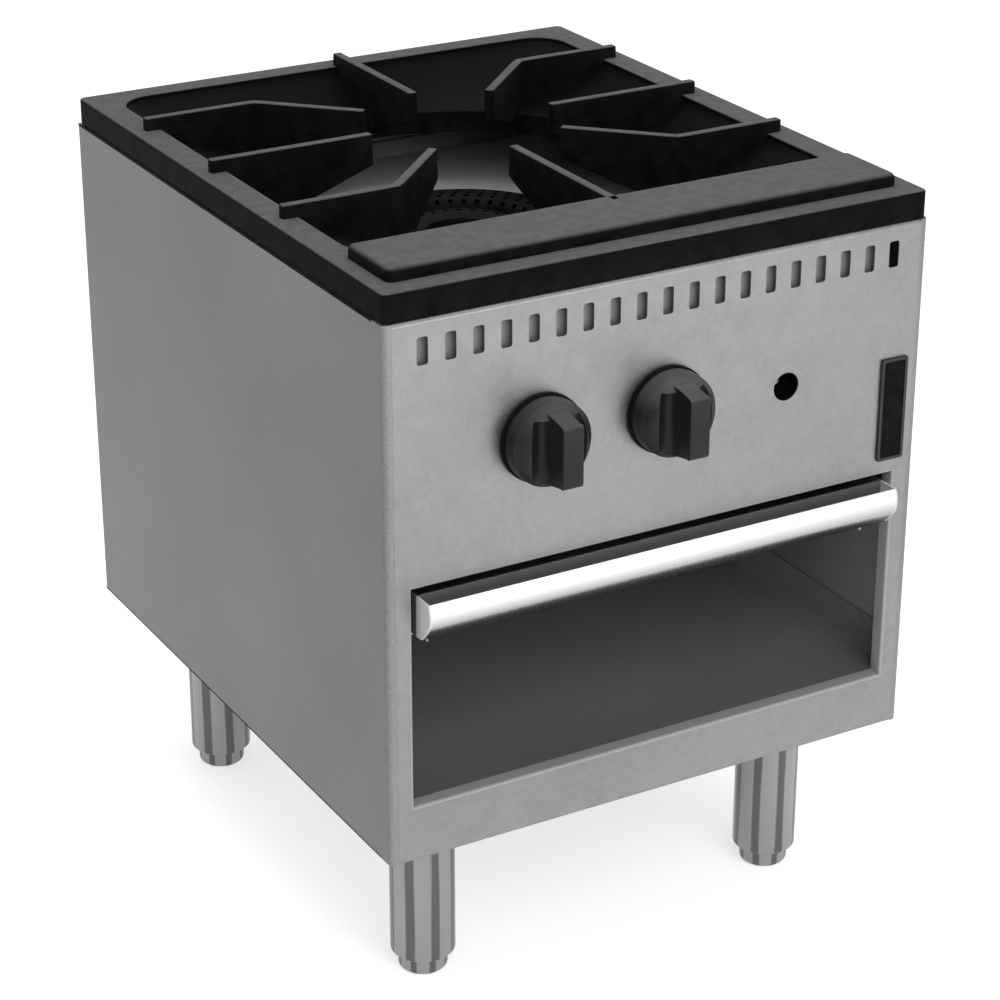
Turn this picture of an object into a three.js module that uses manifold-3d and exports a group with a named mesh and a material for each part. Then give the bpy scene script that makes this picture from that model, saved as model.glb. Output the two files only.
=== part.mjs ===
// Stock pot range: a low, free-standing gas burner cabinet on four legs, with one heavy cast top
// grate, two gas knobs, a pull-out drip tray and an open storage bay. Millimetres, +Z up, the
// front faces -Y. X and Y are measured from the middle of the cabinet, and Z from the floor.
import * as THREE from 'three';
import { mergeVertices } from 'three/addons/utils/BufferGeometryUtils.js';
import Module from 'manifold-3d';

const wasm = await Module();
wasm.setup();

// ---- Cabinet -------------------------------------------------------------------------------
const bodyWidth = 457;
const bodyDepth = 533;
const bodyHeight = 421;
const legHeight = 150; // floor to the underside of the cabinet

// ---- Sheet metal ---------------------------------------------------------------------------
const sheet = 1.5;
const bendRadius = 5; // outside radius of the upright front bends
const topBend = 3; // outside radius of the front panel's top bend
const cornerReturn = 7; // side panel shown on the front, up to the seam
const foldWidth = 15; // flanges folded inwards along the panels' edges
const seatGap = 0.3; // between pieces that touch
const hiddenGap = 1; // between flanges that only pass each other

// ---- Front panel ---------------------------------------------------------------------------
const openingMargin = 20; // front left standing beside the opening
const sillHeight = 44.6; // front left standing below the opening
const controlPanelHeight = 201; // front left standing above the opening
const openingReturn = 10; // edge turned back round the opening
const slotWidth = 8.8;
const slotHeight = 20.5;
const slotCorner = 2;
const slotPitch = 22;
const slotEndMargin = 30.5; // panel's side to the middle of the first slot
const slotDrop = 23; // cabinet top to the slots' middle
const rearSlotPitch = 44;

// ---- Controls ------------------------------------------------------------------------------
const controlDrop = 105.5; // cabinet top to the knobs' axis
const controlPitch = 104.5; // knob to knob
const knobRadius = 33.5;
const knobDepth = 44.5; // back face to the front of the grip
const knobStandoff = 1; // panel to the knob's back face
const knobSkirt = 4; // upright edge of the skirt
const domeDepth = 28; // back face to the top of the dome
const domeRadius = 28; // where the dome turns over
const gripWidth = 16.5;
const gripBackHalf = 32; // half length of the grip where it leaves the skirt
const gripFrontHalf = 23.5;
const gripNose = 3; // rounding of the grip's front ends
const scoopHalf = 22.5; // half height of the finger scoop beside the grip
const scoopSection = [[0, 20], [1.8, 24], [4.8, 25.5], [8.8, 25], [12.3, 22], [15.3, 17]];
// scoop's floor: beyond the grip's flank, and behind its front
const stemRadius = 4;
const runningGap = 0.3; // round a stem, screw or foot in its hole
const stemInKnob = 22;
const stemInValve = 9;
const stemHoleGap = 2; // round the stem in the panel
const pilotSide = 105.5; // middle of the cabinet to the pilot hole
const pilotDrop = 110; // cabinet top to the pilot hole
const pilotHoleRadius = 11;

// ---- Badge plate (bare) --------------------------------------------------------------------
const badgeWidth = 24;
const badgeHeight = 83;
const badgeThick = 2;
const badgeSideMargin = 12.5; // cabinet side to the plate
const badgeBottomDrop = 189; // cabinet top to the plate's lower edge
const badgeRim = 2.5;

// ---- Gas train -----------------------------------------------------------------------------
const valveRadius = 13;
const valveLength = 34;
const valveSetback = 15; // inside of the front panel to the valve's nose
const valveLegRadius = 8;
const valveCollar = 2; // square collar beyond the body
const valveCollarThick = 6;
const valveNoseLength = 6;
const valveNoseRadius = 8.5;
const manifoldDrop = 45; // knobs' axis to the manifold's axis
const manifoldRadius = 10.65;
const manifoldBore = 7.9;
const manifoldEndRun = 30; // manifold beyond the left valve
const supplyRadius = 13.35;
const supplyBore = 10.5;
const supplyInset = 33.5; // cabinet side to the supply pipe's axis
const supplyReach = 43.5; // pipe standing out behind the cabinet
const supplyHoleGap = 0.8; // round the supply pipe in the rear panel
const elbowRadius = 19;
const elbowLength = 34;
const elbowSocket = 15;
const bracketWidth = 20;
const bracketThick = 2;
const bracketHeight = 34;
const hoodRadius = 7.5;
const hoodLength = 10;
const nozzleRadius = 4.5;
const nozzleLength = 11;
const pilotBodyRadius = 7;
const pilotNeckRadius = 5;
const pilotScrewRadius = 3.5;
const pilotScrewLength = 12;
const pilotScrewSocket = 8;
const pilotSlot = 1.2;
const pilotNut = 4; // outlet nut behind the body
const pilotTubeRadius = 2.5;

// ---- Burners -------------------------------------------------------------------------------
const burnerBack = 34; // middle of the cabinet back to the burners' centre
const burnerDrop = 80; // rim's top down to the burners' top
const burnerHeight = 32;
const outerRingOuter = 106;
const outerRingInner = 70;
const innerHeadRadius = 56;
const burnerWall = 5;
const burnerBevel = 8;
const headDishDrop = 10; // burner's top down to the inner head's low ring
const headMiddleDrop = 3; // burner's top down to its middle
const tubeRadius = 14.5;
const tubeBore = 12;
const riserBore = 11;
const tubeMouthBack = 78; // front panel to the mixing tubes' mouths
const tubeTail = 22; // tube beyond the riser's axis
const mouthFlange = 20; // radius
const mouthFlangeThick = 4;
const earRadius = 21;
const earHeight = 15;
const postRadius = 5;
const supportWidth = 30;
const supportThick = 6;
const supportTab = 30;
const shutterRadius = 20;
const shutterThick = 2;
const shutterTab = 8;
const deckDrop = 92; // rim's top down to the deck's top
const deckHole = 114; // radius
const deckFlange = 14;
const deckEdgeGap = 1.5;
const deckFrontBack = 6; // front panel to the deck's tall front wall
const deckFrontDrop = 9; // cabinet top to that wall's top
const deckFrontLeft = -215; // sides of that wall
const deckFrontRight = 188;
const railWidth = 20;
const railHeight = 20;
const pilotTipRadius = 4;
const pilotTipHeight = 28;
const pilotTipBore = 1.8;
const pilotTipRise = 2; // tip above the burners' top
const pilotTipSide = 32; // tip beside the burners' centre
const pilotTipFront = 54; // tip in front of the burners' centre
const pilotStrapWidth = 9;
const pilotTubeDrop = 8; // tube's run under the outer ring
const pilotTubeLead = 24; // straight run behind the pilot valve
const pilotTubeSwing = 60; // valve to where the tube turns down
const pilotTubeTurns = [[22, 34], [3, 12]]; // turns before the tip, sideways and forwards

// ---- Top grate (one casting) ---------------------------------------------------------------
const grateInset = 1.2; // cabinet's side to the grate's
const lipHeight = 21.4;
const grateCorner = 5;
const lipWall = 9;
const rimThick = 9;
const rimWidth = 24;
const openingCorner = 28;
const fingerRise = 10; // finger tops above the rim
const fingerThick = 8.5;
const fingerTipRadius = 80;
const fingerTipDepth = 25;
const fingerSlope = 0.35; // how fast the web deepens away from its tip
const fingerLap = 13; // finger's end carried over the rim
const fingerEndDepth = 24;
const bentFingerSpread = 122; // centre to where a bent finger turns sideways
const bowlDrop = 30;
const bowlHole = 152; // radius
const bowlWall = 6;
const bowlCollar = 18;
const ledgeFrontBand = 19; // rim left in front of the ledge
const ledgeDepth = 63;
const ledgeSideInset = 14;
const ledgeBevel = 2.5;
const ledgeCorner = 6;

// ---- Drip tray -----------------------------------------------------------------------------
const traySideGap = 5.5; // to the opening's sides
const trayDepth = 505; // front wall to rear wall
const trayHeight = 32;
const trayTopGap = 7.5; // to the opening's top
const trayWallBack = 4; // front of the cabinet to the tray's front wall
const noseReach = 16.5;
const noseRun = [[0, 0], [-9, 6], [-14.5, 11], [-17, 16], [-17.5, 21], [-16.8, 26.5], [-14.2, 31.5]];
const runnerLap = 13.5; // tray carried on each runner
const runnerLip = 10;
const runnerLeg = 14;

// ---- Storage shelf and base ----------------------------------------------------------------
const shelfFlange = 30;
const shelfFrontDrop = 12;
const channelWidth = 80;
const channelThick = 2;

// ---- Legs ----------------------------------------------------------------------------------
const legInsetX = 68;
const legInsetY = 79.5;
const legRadius = 25.5;
const legWall = 1.6;
const footShown = 16; // foot below the tube
const footRadius = 19.5;
const footRound = 5;
const footInTube = 48;
const footShoulder = 16; // bore above the foot's stop
const studRadius = 6;
const studLength = 20;
const studHoleGap = 1;
const socketSize = 70;
const socketThick = 3;
const socketBoss = 15;
const socketBossHeight = 12;

// ---- Rear panel screws ---------------------------------------------------------------------
const screwHeadRadius = 4.5;
const screwHeadThick = 2.2;
const screwRadius = 2;
const screwLength = 8;
const screwInset = 8; // cabinet side to the screws
const screwTopMargin = 30; // cabinet's top to the highest screws
const screwBottomMargin = 95;

// ---- Facets --------------------------------------------------------------------------------
const roundSides = 24;
const pipeSides = 20;
const smallSides = 12;
const bowlSides = 48;

// ---- Derived places ------------------------------------------------------------------------
const halfWidth = bodyWidth / 2;
const halfDepth = bodyDepth / 2;
const bodyBottom = legHeight;
const bodyTop = bodyBottom + bodyHeight;
const frontFace = -halfDepth;
const frontInside = frontFace + sheet;
const wallInside = halfWidth - sheet;
const panelEdge = halfWidth - cornerReturn - seatGap;
const openingX = halfWidth - openingMargin;
const sillTop = bodyBottom + sillHeight;
const openingTop = bodyTop - controlPanelHeight;
const rearPanelOutside = halfDepth - sheet - seatGap;
const rearPanelInside = rearPanelOutside - sheet;
const controlZ = bodyTop - controlDrop;
const pilotAxis = [pilotSide, bodyTop - pilotDrop];
const rimTop = bodyTop + seatGap + lipHeight;
const burnerTop = rimTop - burnerDrop;
const burnerBottom = burnerTop - burnerHeight;
const deckTop = rimTop - deckDrop;
const supportTop = controlZ - tubeRadius - seatGap;
const valveNose = frontInside + valveSetback;
const valveTail = valveNose + valveLength;
const manifoldY = (valveNose + valveTail) / 2;
const manifoldZ = controlZ - manifoldDrop;
const supplyX = halfWidth - supplyInset;
const tubeMouth = frontFace + tubeMouthBack;
const knobBack = frontFace - knobStandoff;
const fingerTop = rimTop + fingerRise;
const trayHalf = openingX - traySideGap;
const trayTop = openingTop - trayTopGap;
const trayBottom = trayTop - trayHeight;
const legX = halfWidth - legInsetX;
const legY = halfDepth - legInsetY;
const footTop = footShown + footInTube;
const middleRadius = (outerRingOuter + outerRingInner) / 2;
const postSpread = middleRadius * Math.sin(Math.PI / 3);

// ---- Solids --------------------------------------------------------------------------------

/** Volume enclosed by an indexed mesh, negative where its faces point inwards. */
function signedVolume(positions, triangles) {
  const corner = (index) => new THREE.Vector3().fromArray(positions, 3 * index);
  let six = 0;
  for (let i = 0; i < triangles.length; i += 3) {
    const [a, b, c] = [corner(triangles[i]), corner(triangles[i + 1]), corner(triangles[i + 2])];
    six += a.dot(b.cross(c));
  }
  return six / 6;
}

/** Closed three.js geometry made into a solid, its faces turned outwards. */
function toSolid(geometry) {
  const bare = geometry.clone();
  bare.deleteAttribute('normal');
  bare.deleteAttribute('uv');
  const merged = mergeVertices(bare, 1e-4);
  const positions = merged.attributes.position.array;
  const triangles = [];
  for (let i = 0; i < merged.index.count; i += 3) {
    const [a, b, c] = [0, 1, 2].map((k) => merged.index.getX(i + k));
    if (a !== b && b !== c && c !== a) triangles.push(a, b, c);
  }
  if (signedVolume(positions, triangles) < 0) triangles.reverse();
  return new wasm.Manifold(new wasm.Mesh({
    numProp: 3,
    vertProperties: new Float32Array(positions),
    triVerts: new Uint32Array(triangles),
  }));
}

/** Geometry of a finished solid. */
function toGeometry(solid) {
  const mesh = solid.getMesh();
  const geometry = new THREE.BufferGeometry();
  geometry.setAttribute('position', new THREE.BufferAttribute(mesh.vertProperties, 3));
  geometry.setIndex(new THREE.BufferAttribute(mesh.triVerts, 1));
  geometry.computeVertexNormals();
  return geometry;
}

const join = (first, ...others) => others.reduce((sum, solid) => sum.add(solid), first);
const cut = (first, ...others) => others.reduce((rest, solid) => rest.subtract(solid), first);

/** The same solid on the other side of the cabinet. */
function mirrored(solid) {
  const geometry = toGeometry(solid);
  geometry.scale(-1, 1, 1);
  return toSolid(geometry);
}

/** Box between two values on each axis, given in either order. */
function block([xA, xB], [yA, yB], [zA, zB]) {
  const size = [Math.abs(xB - xA), Math.abs(yB - yA), Math.abs(zB - zA)];
  const geometry = new THREE.BoxGeometry(...size);
  geometry.translate((xA + xB) / 2, (yA + yB) / 2, (zA + zB) / 2);
  return toSolid(geometry);
}

/** Extrusion of a shape drawn in (x, y), from one height to another. */
function alongZ(shape, from, to, segments = 6) {
  const settings = { depth: to - from, bevelEnabled: false, curveSegments: segments };
  const geometry = new THREE.ExtrudeGeometry(shape, settings);
  geometry.translate(0, 0, from);
  return toSolid(geometry);
}

/** Extrusion of a shape drawn in (x, z), along Y. */
function alongY(shape, from, to, segments = 6) {
  const settings = { depth: to - from, bevelEnabled: false, curveSegments: segments };
  const geometry = new THREE.ExtrudeGeometry(shape, settings);
  geometry.applyMatrix4(new THREE.Matrix4().set(1, 0, 0, 0, 0, 0, 1, from, 0, 1, 0, 0, 0, 0, 0, 1));
  return toSolid(geometry);
}

/** Extrusion of a shape drawn in (y, z), along X. */
function alongX(shape, from, to, segments = 6) {
  const settings = { depth: to - from, bevelEnabled: false, curveSegments: segments };
  const geometry = new THREE.ExtrudeGeometry(shape, settings);
  geometry.applyMatrix4(new THREE.Matrix4().set(0, 0, 1, from, 1, 0, 0, 0, 0, 1, 0, 0, 0, 0, 0, 1));
  return toSolid(geometry);
}

/** Round bar standing on (x, y) between two heights. */
function uprightBar([x, y], from, to, radius, sides = smallSides) {
  const geometry = new THREE.CylinderGeometry(radius, radius, to - from, sides);
  geometry.rotateX(Math.PI / 2);
  geometry.translate(x, y, (from + to) / 2);
  return toSolid(geometry);
}

/** Round bar lying along Y on the axis (x, z). */
function depthBar([x, z], from, to, radius, sides = smallSides) {
  const geometry = new THREE.CylinderGeometry(radius, radius, to - from, sides);
  geometry.translate(x, (from + to) / 2, z);
  return toSolid(geometry);
}

/** Round bar lying along X on the axis (y, z). */
function widthBar([y, z], from, to, radius, sides = smallSides) {
  const geometry = new THREE.CylinderGeometry(radius, radius, to - from, sides);
  geometry.rotateZ(Math.PI / 2);
  geometry.translate((from + to) / 2, y, z);
  return toSolid(geometry);
}

/** Profile of (radius, height) points turned about an upright axis through (x, y). */
function turned(profile, [x, y] = [0, 0], sides = roundSides) {
  const points = profile.map(([radius, height]) => new THREE.Vector2(radius, height));
  const geometry = new THREE.LatheGeometry(points, sides);
  geometry.rotateX(Math.PI / 2);
  geometry.translate(x, y, 0);
  return toSolid(geometry);
}

/** Profile that closes on itself, away from the axis. */
const ring = (profile, centre, sides) => turned([...profile, profile[0]], centre, sides);

/** Closed polygon. */
const polygon = (points) => new THREE.Shape(points.map(([a, b]) => new THREE.Vector2(a, b)));

/** Rectangle with round corners. */
function roundedRectangle([left, right], [low, high], radius) {
  const shape = new THREE.Shape();
  const quarter = Math.PI / 2;
  shape.absarc(right - radius, low + radius, radius, -quarter, 0, false);
  shape.absarc(right - radius, high - radius, radius, 0, quarter, false);
  shape.absarc(left + radius, high - radius, radius, quarter, 2 * quarter, false);
  shape.absarc(left + radius, low + radius, radius, 2 * quarter, 3 * quarter, false);
  return shape;
}

/** Section of a folded sheet: one face's points, with the thickness to the right of their run. */
function folded(face, thickness = sheet) {
  const points = face.map(([a, b]) => new THREE.Vector2(a, b));
  const rightOf = (from, to) => {
    const run = to.clone().sub(from).normalize();
    return new THREE.Vector2(run.y, -run.x);
  };
  const back = points.map((point, i) => {
    const before = rightOf(points[Math.max(i - 1, 0)], points[Math.max(i, 1)]);
    const last = points.length - 1;
    const after = rightOf(points[Math.min(i, last - 1)], points[Math.min(i + 1, last)]);
    const mitre = before.clone().add(after).divideScalar(1 + before.dot(after));
    return point.clone().addScaledVector(mitre, thickness);
  });
  return new THREE.Shape([...points, ...back.reverse()]);
}

/** Points of an arc, ends included. */
function arcPoints([a, b], radius, fromAngle, toAngle, steps = 3) {
  return Array.from({ length: steps + 1 }, (_, i) => {
    const angle = fromAngle + ((toAngle - fromAngle) * i) / steps;
    return [a + radius * Math.cos(angle), b + radius * Math.sin(angle)];
  });
}

// ---- Cabinet sheets ------------------------------------------------------------------------

/** Left side: wall, round front bend stepped back behind the front panel, flanges all round. */
function sidePanelLeft() {
  const seam = -halfWidth + cornerReturn;
  const stepBack = frontInside + seatGap;
  const bend = [-halfWidth + bendRadius, frontFace + bendRadius];
  const inner = -halfWidth + foldWidth;
  const plan = folded([
    [-openingX - sheet - hiddenGap, stepBack],
    [seam, stepBack],
    [seam, frontFace],
    ...arcPoints(bend, bendRadius, -Math.PI / 2, -Math.PI),
    [-halfWidth, halfDepth],
    [inner, halfDepth],
  ]);
  const foldFront = frontFace + foldWidth + seatGap;
  const corner = [[seam, -openingX + foldWidth], [frontFace, foldFront]];
  const wall = join(
    alongZ(plan, bodyBottom, bodyTop),
    block([-halfWidth, inner], [foldFront, halfDepth], [bodyTop - sheet, bodyTop]),
    block([-halfWidth, inner], [foldFront, halfDepth], [bodyBottom, bodyBottom + sheet]),
  );
  return cut(
    wall,
    block(...corner, [bodyTop - topBend - seatGap, bodyTop + sheet]),
    block(...corner, [bodyBottom - sheet, bodyBottom + sheet + seatGap]),
    ...rearScrewHoles(-1),
  );
}

/** Heights of the rear panel's screws. */
function screwHeights() {
  const low = bodyBottom + screwBottomMargin;
  const high = bodyTop - screwTopMargin;
  return [low, (low + high) / 2, high];
}

/** Holes for the rear screws of one side, through the side panel and the rear panel. */
function rearScrewHoles(side) {
  const x = side * (halfWidth - screwInset);
  const from = rearPanelInside - sheet;
  return screwHeights().map((z) => depthBar([x, z], from, halfDepth + sheet, screwRadius + runningGap));
}

/** Row of upright slots between two depths. */
function slotRow(pitch, from, to) {
  const span = bodyWidth - 2 * slotEndMargin;
  const count = Math.floor(span / pitch + 1e-6) + 1;
  const z = bodyTop - slotDrop;
  return Array.from({ length: count }, (_, i) => {
    const x = (i - (count - 1) / 2) * pitch;
    const wide = [x - slotWidth / 2, x + slotWidth / 2];
    const tall = [z - slotHeight / 2, z + slotHeight / 2];
    return alongY(roundedRectangle(wide, tall, slotCorner), from, to, 1);
  });
}

/** Front: plate with rolled top edge, slots, control holes and the framed opening. */
function frontPanel() {
  const bend = [frontFace + topBend, bodyTop - topBend];
  const section = folded([
    [frontFace + foldWidth, bodyBottom],
    [frontFace, bodyBottom],
    ...arcPoints(bend, topBend, Math.PI, Math.PI / 2, 3),
    [frontFace + foldWidth, bodyTop],
  ]);
  const back = frontInside + openingReturn;
  const through = [frontFace - sheet, frontInside + sheet];
  const stemHole = stemRadius + stemHoleGap;
  const plate = cut(
    alongX(section, -panelEdge, panelEdge),
    block([-openingX, openingX], through, [sillTop, openingTop]),
    depthBar([-controlPitch, controlZ], ...through, stemHole),
    depthBar([0, controlZ], ...through, stemHole),
    depthBar(pilotAxis, ...through, pilotHoleRadius, roundSides),
    ...slotRow(slotPitch, ...through),
  );
  const edge = [openingX, openingX + sheet];
  const tall = [sillTop - sheet, openingTop + sheet];
  return join(
    plate,
    block(edge, [frontInside - sheet / 2, back], tall),
    block(edge.map((x) => -x), [frontInside - sheet / 2, back], tall),
    block([-openingX, openingX], [frontInside - sheet / 2, back], [openingTop, openingTop + sheet]),
    block([-openingX, openingX], [frontInside - sheet / 2, back], [sillTop - sheet, sillTop]),
  );
}

/** Rear: plate with stiffening folds, vent slots and the gas inlet's hole. */
function rearPanel() {
  const edge = wallInside - seatGap;
  const low = bodyBottom + sheet + seatGap;
  const high = bodyTop - sheet - seatGap;
  const section = folded([
    [rearPanelOutside - foldWidth, high],
    [rearPanelOutside, high],
    [rearPanelOutside, low],
    [rearPanelOutside - foldWidth, low],
  ]);
  const through = [rearPanelInside - sheet, rearPanelOutside + sheet];
  return cut(
    alongX(section, -edge, edge),
    depthBar([supplyX, manifoldZ], ...through, supplyRadius + supplyHoleGap, roundSides),
    ...slotRow(rearSlotPitch, ...through),
    ...rearScrewHoles(-1),
    ...rearScrewHoles(1),
  );
}

/** Storage shelf: floor with upturned sides and back, and a lip folded down in front. */
function bottomShelf() {
  const inner = wallInside - seatGap - sheet;
  const high = sillTop + shelfFlange;
  const front = frontInside + openingReturn + seatGap;
  const back = rearPanelInside - seatGap;
  const section = folded([[-inner, high], [-inner, sillTop], [inner, sillTop], [inner, high]]);
  const outer = inner + sheet;
  const rise = block([-outer, outer], [back - sheet, back], [sillTop - sheet, high]);
  const dropLow = sillTop - sheet - shelfFrontDrop;
  const drop = block([-openingX, openingX], [front, front + sheet], [dropLow, sillTop]);
  return join(alongY(section, front, back), rise, drop);
}

/** Left channel under the shelf, which the legs bolt to. */
function baseChannelLeft() {
  const reach = channelWidth / 2 - channelThick;
  const top = sillTop - sheet - seatGap;
  const floor = bodyBottom + channelThick;
  const section = folded(
    [[-legX - reach, top], [-legX - reach, floor], [-legX + reach, floor], [-legX + reach, top]],
    channelThick,
  );
  const front = frontFace + foldWidth + hiddenGap;
  const back = rearPanelOutside - foldWidth - seatGap;
  const hole = studRadius + studHoleGap;
  const channel = cut(
    alongY(section, front, back),
    uprightBar([-legX, -legY], bodyBottom - sheet, floor + sheet, hole),
    uprightBar([-legX, legY], bodyBottom - sheet, floor + sheet, hole),
  );
  return channel;
}

// ---- Drip tray -----------------------------------------------------------------------------

/** Left runner: angle on the side panel with a turned-down inner lip. */
function trayRunnerLeft() {
  const wall = -wallInside + seatGap;
  const top = trayBottom - seatGap;
  const inner = -trayHalf + runnerLap;
  const section = folded([[wall, top - runnerLeg], [wall, top], [inner, top], [inner, top - runnerLip]]);
  const front = frontInside + openingReturn + seatGap;
  return alongY(section, front, rearPanelInside - seatGap);
}

/** Tray: pan whose front is carried forward into a scooped pull. */
function dripTray() {
  const wallFront = frontFace + trayWallBack;
  const back = wallFront + trayDepth;
  const side = [-trayHalf, trayHalf];
  const inside = side.map((x) => x - Math.sign(x) * sheet);
  const pan = cut(
    block(side, [wallFront, back], [trayBottom, trayTop]),
    block(inside, [wallFront + sheet, back - sheet], [trayBottom + sheet, trayTop + sheet]),
  );
  const reach = noseReach / Math.max(...noseRun.map(([y]) => -y));
  const rise = trayHeight / Math.max(...noseRun.map(([, z]) => z));
  const face = noseRun.map(([y, z]) => [frontFace + y * reach, trayBottom + z * rise]);
  const scoop = alongX(folded([[wallFront + sheet, trayBottom], ...face]), ...side);
  const end = polygon([[wallFront + sheet, trayBottom], ...face, [wallFront + sheet, trayTop]]);
  return join(pan, scoop, alongX(end, side[0], inside[0]), alongX(end, inside[1], side[1]));
}

// ---- Burner deck and supports --------------------------------------------------------------

/** Shallow pan round the burners, with a round hole for them. */
function burnerDeck() {
  const side = wallInside - deckEdgeGap;
  const wide = [-side, side];
  const deep = [frontFace + deckFrontBack, rearPanelInside - deckEdgeGap];
  const under = deckTop - sheet;
  const pan = cut(
    block(wide, deep, [under, deckTop + deckFlange]),
    block([-side + sheet, side - sheet], [deep[0] + sheet, deep[1] - sheet], [deckTop, rimTop]),
    uprightBar([0, burnerBack], under - sheet, deckTop + sheet, deckHole, bowlSides),
  );
  const tall = [deckTop, bodyTop - deckFrontDrop];
  return join(pan, block([deckFrontLeft, deckFrontRight], [deep[0], deep[0] + sheet], tall));
}

/** Left angle that carries the deck. */
function deckRailLeft() {
  const wall = -wallInside + seatGap;
  const top = deckTop - sheet - seatGap;
  const section = folded([[wall, top - railHeight], [wall, top], [wall + railWidth, top]]);
  const front = frontInside + sheet + seatGap + hiddenGap;
  return alongY(section, front, rearPanelInside - deckEdgeGap);
}

/** Flat bar across the cabinet under the burners, with a tab down each side. */
function burnerSupport(y) {
  const edge = wallInside - seatGap;
  const deep = [y - supportWidth / 2, y + supportWidth / 2];
  const tab = [supportTop - supportTab, supportTop];
  return join(
    block([-edge, edge], deep, [supportTop - supportThick, supportTop]),
    block([-edge, -edge + supportThick], deep, tab),
    block([edge - supportThick, edge], deep, tab),
  );
}

// ---- Burners -------------------------------------------------------------------------------

const burnerCentre = [0, burnerBack];
const tubeSeat = burnerBottom - seatGap;

/** Outer ring: hollow casting with a side ear over its mixing tube and three support posts. */
function outerBurnerRing() {
  const low = burnerBottom;
  const shoulder = burnerTop - burnerBevel;
  const skin = [
    [outerRingInner, low], [outerRingOuter, low], [outerRingOuter, shoulder],
    [outerRingOuter - burnerBevel, burnerTop], [outerRingInner + burnerBevel, burnerTop],
    [outerRingInner, shoulder],
  ];
  const inner = outerRingInner + burnerWall;
  const outer = outerRingOuter - burnerWall;
  const hollow = [
    [inner, low + burnerWall], [outer, low + burnerWall], [outer, shoulder - burnerWall / 2],
    [outer - burnerBevel, burnerTop - burnerWall], [inner + burnerBevel, burnerTop - burnerWall],
    [inner, shoulder - burnerWall / 2],
  ];
  const ear = [-controlPitch, burnerBack];
  const earTop = low + earHeight;
  const passage = earRadius - burnerWall - hiddenGap;
  const deep = (half) => [burnerBack - half, burnerBack + half];
  const posts = [Math.PI / 3, (2 * Math.PI) / 3, (4 * Math.PI) / 3].map((angle) => {
    const foot = [middleRadius * Math.cos(angle), burnerBack + middleRadius * Math.sin(angle)];
    return uprightBar(foot, supportTop + seatGap, low + burnerWall / 2, postRadius);
  });
  const casting = join(
    ring(skin, burnerCentre, bowlSides),
    uprightBar(ear, low, earTop, earRadius, roundSides),
    block([-controlPitch, -middleRadius], deep(earRadius), [low, earTop]),
  );
  const passages = join(
    ring(hollow, burnerCentre, bowlSides),
    block([-controlPitch, -middleRadius], deep(passage / 2), [low + burnerWall, earTop - burnerWall]),
    uprightBar(ear, low - burnerWall, earTop - burnerWall, riserBore, smallSides),
  );
  return join(cut(casting, passages), ...posts);
}

/** Inner head: round hollow casting with a raised ring and a low middle. */
function innerBurnerHead() {
  const low = burnerBottom;
  const shoulder = burnerTop - burnerBevel;
  const dish = innerHeadRadius / 2;
  const skin = [
    [0, low], [innerHeadRadius, low], [innerHeadRadius, shoulder],
    [innerHeadRadius - burnerBevel, burnerTop], [dish + burnerBevel, burnerTop],
    [dish, burnerTop - headDishDrop], [dish - burnerBevel, burnerTop - headDishDrop],
    [dish - 2 * burnerBevel, burnerTop - headMiddleDrop], [0, burnerTop - headMiddleDrop],
  ];
  const outer = innerHeadRadius - burnerWall;
  const hollow = [
    [0, low + burnerWall], [outer, low + burnerWall], [outer, shoulder - burnerWall / 2],
    [outer - burnerBevel, burnerTop - burnerWall], [dish + burnerBevel + sheet, burnerTop - burnerWall],
    [dish, burnerTop - headDishDrop - burnerWall], [0, burnerTop - headDishDrop - burnerWall],
  ];
  const inlet = uprightBar(burnerCentre, low - burnerWall, low + 2 * burnerWall, riserBore);
  return cut(turned(skin, burnerCentre), join(turned(hollow, burnerCentre), inlet));
}

/** Mixing tube: open bell mouth in front, straight run back and a riser up to its burner. */
function mixingTube(x) {
  const axis = [x, controlZ];
  const tail = burnerBack + tubeTail;
  const outside = join(
    depthBar(axis, tubeMouth, tail, tubeRadius, pipeSides),
    depthBar(axis, tubeMouth, tubeMouth + mouthFlangeThick, mouthFlange, pipeSides),
    uprightBar([x, burnerBack], controlZ, tubeSeat, tubeRadius, pipeSides),
  );
  const passage = join(
    depthBar(axis, tubeMouth - sheet, tail - burnerWall, tubeBore, pipeSides),
    uprightBar([x, burnerBack], controlZ, tubeSeat + sheet, riserBore, pipeSides),
  );
  return cut(outside, passage);
}

/** Air shutter: disc with three windows and a thumb tab, turning in front of the tube's mouth. */
function airShutter(x) {
  const back = tubeMouth - seatGap;
  const front = back - shutterThick;
  const disc = join(
    depthBar([x, controlZ], front, back, shutterRadius, roundSides),
    block(
      [x - shutterTab / 2, x + shutterTab / 2], [front, back],
      [controlZ + shutterRadius - shutterThick, controlZ + shutterRadius + shutterTab],
    ),
  );
  const windows = [0, 1, 2].map((i) => {
    const middle = Math.PI / 2 + Math.PI / 3 + (i * 2 * Math.PI) / 3;
    const reach = Math.PI / 5;
    const outer = arcPoints([x, controlZ], tubeBore, middle - reach, middle + reach);
    const inner = arcPoints([x, controlZ], nozzleRadius + shutterThick, middle + reach, middle - reach);
    return alongY(polygon([...outer, ...inner]), front - sheet, back + sheet);
  });
  const eye = depthBar([x, controlZ], front - sheet, back + sheet, nozzleRadius + seatGap * 2);
  return cut(disc, eye, ...windows);
}

/** Orifice hood: hexagon with a nozzle through the shutter's eye. */
function orificeHood(x) {
  const start = valveTail + seatGap;
  const nut = depthBar([x, controlZ], start, start + hoodLength, hoodRadius, 6);
  const nozzleEnd = start + hoodLength + nozzleLength;
  return join(nut, depthBar([x, controlZ], start + hoodLength / 2, nozzleEnd, nozzleRadius));
}

// ---- Gas train -----------------------------------------------------------------------------

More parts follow.
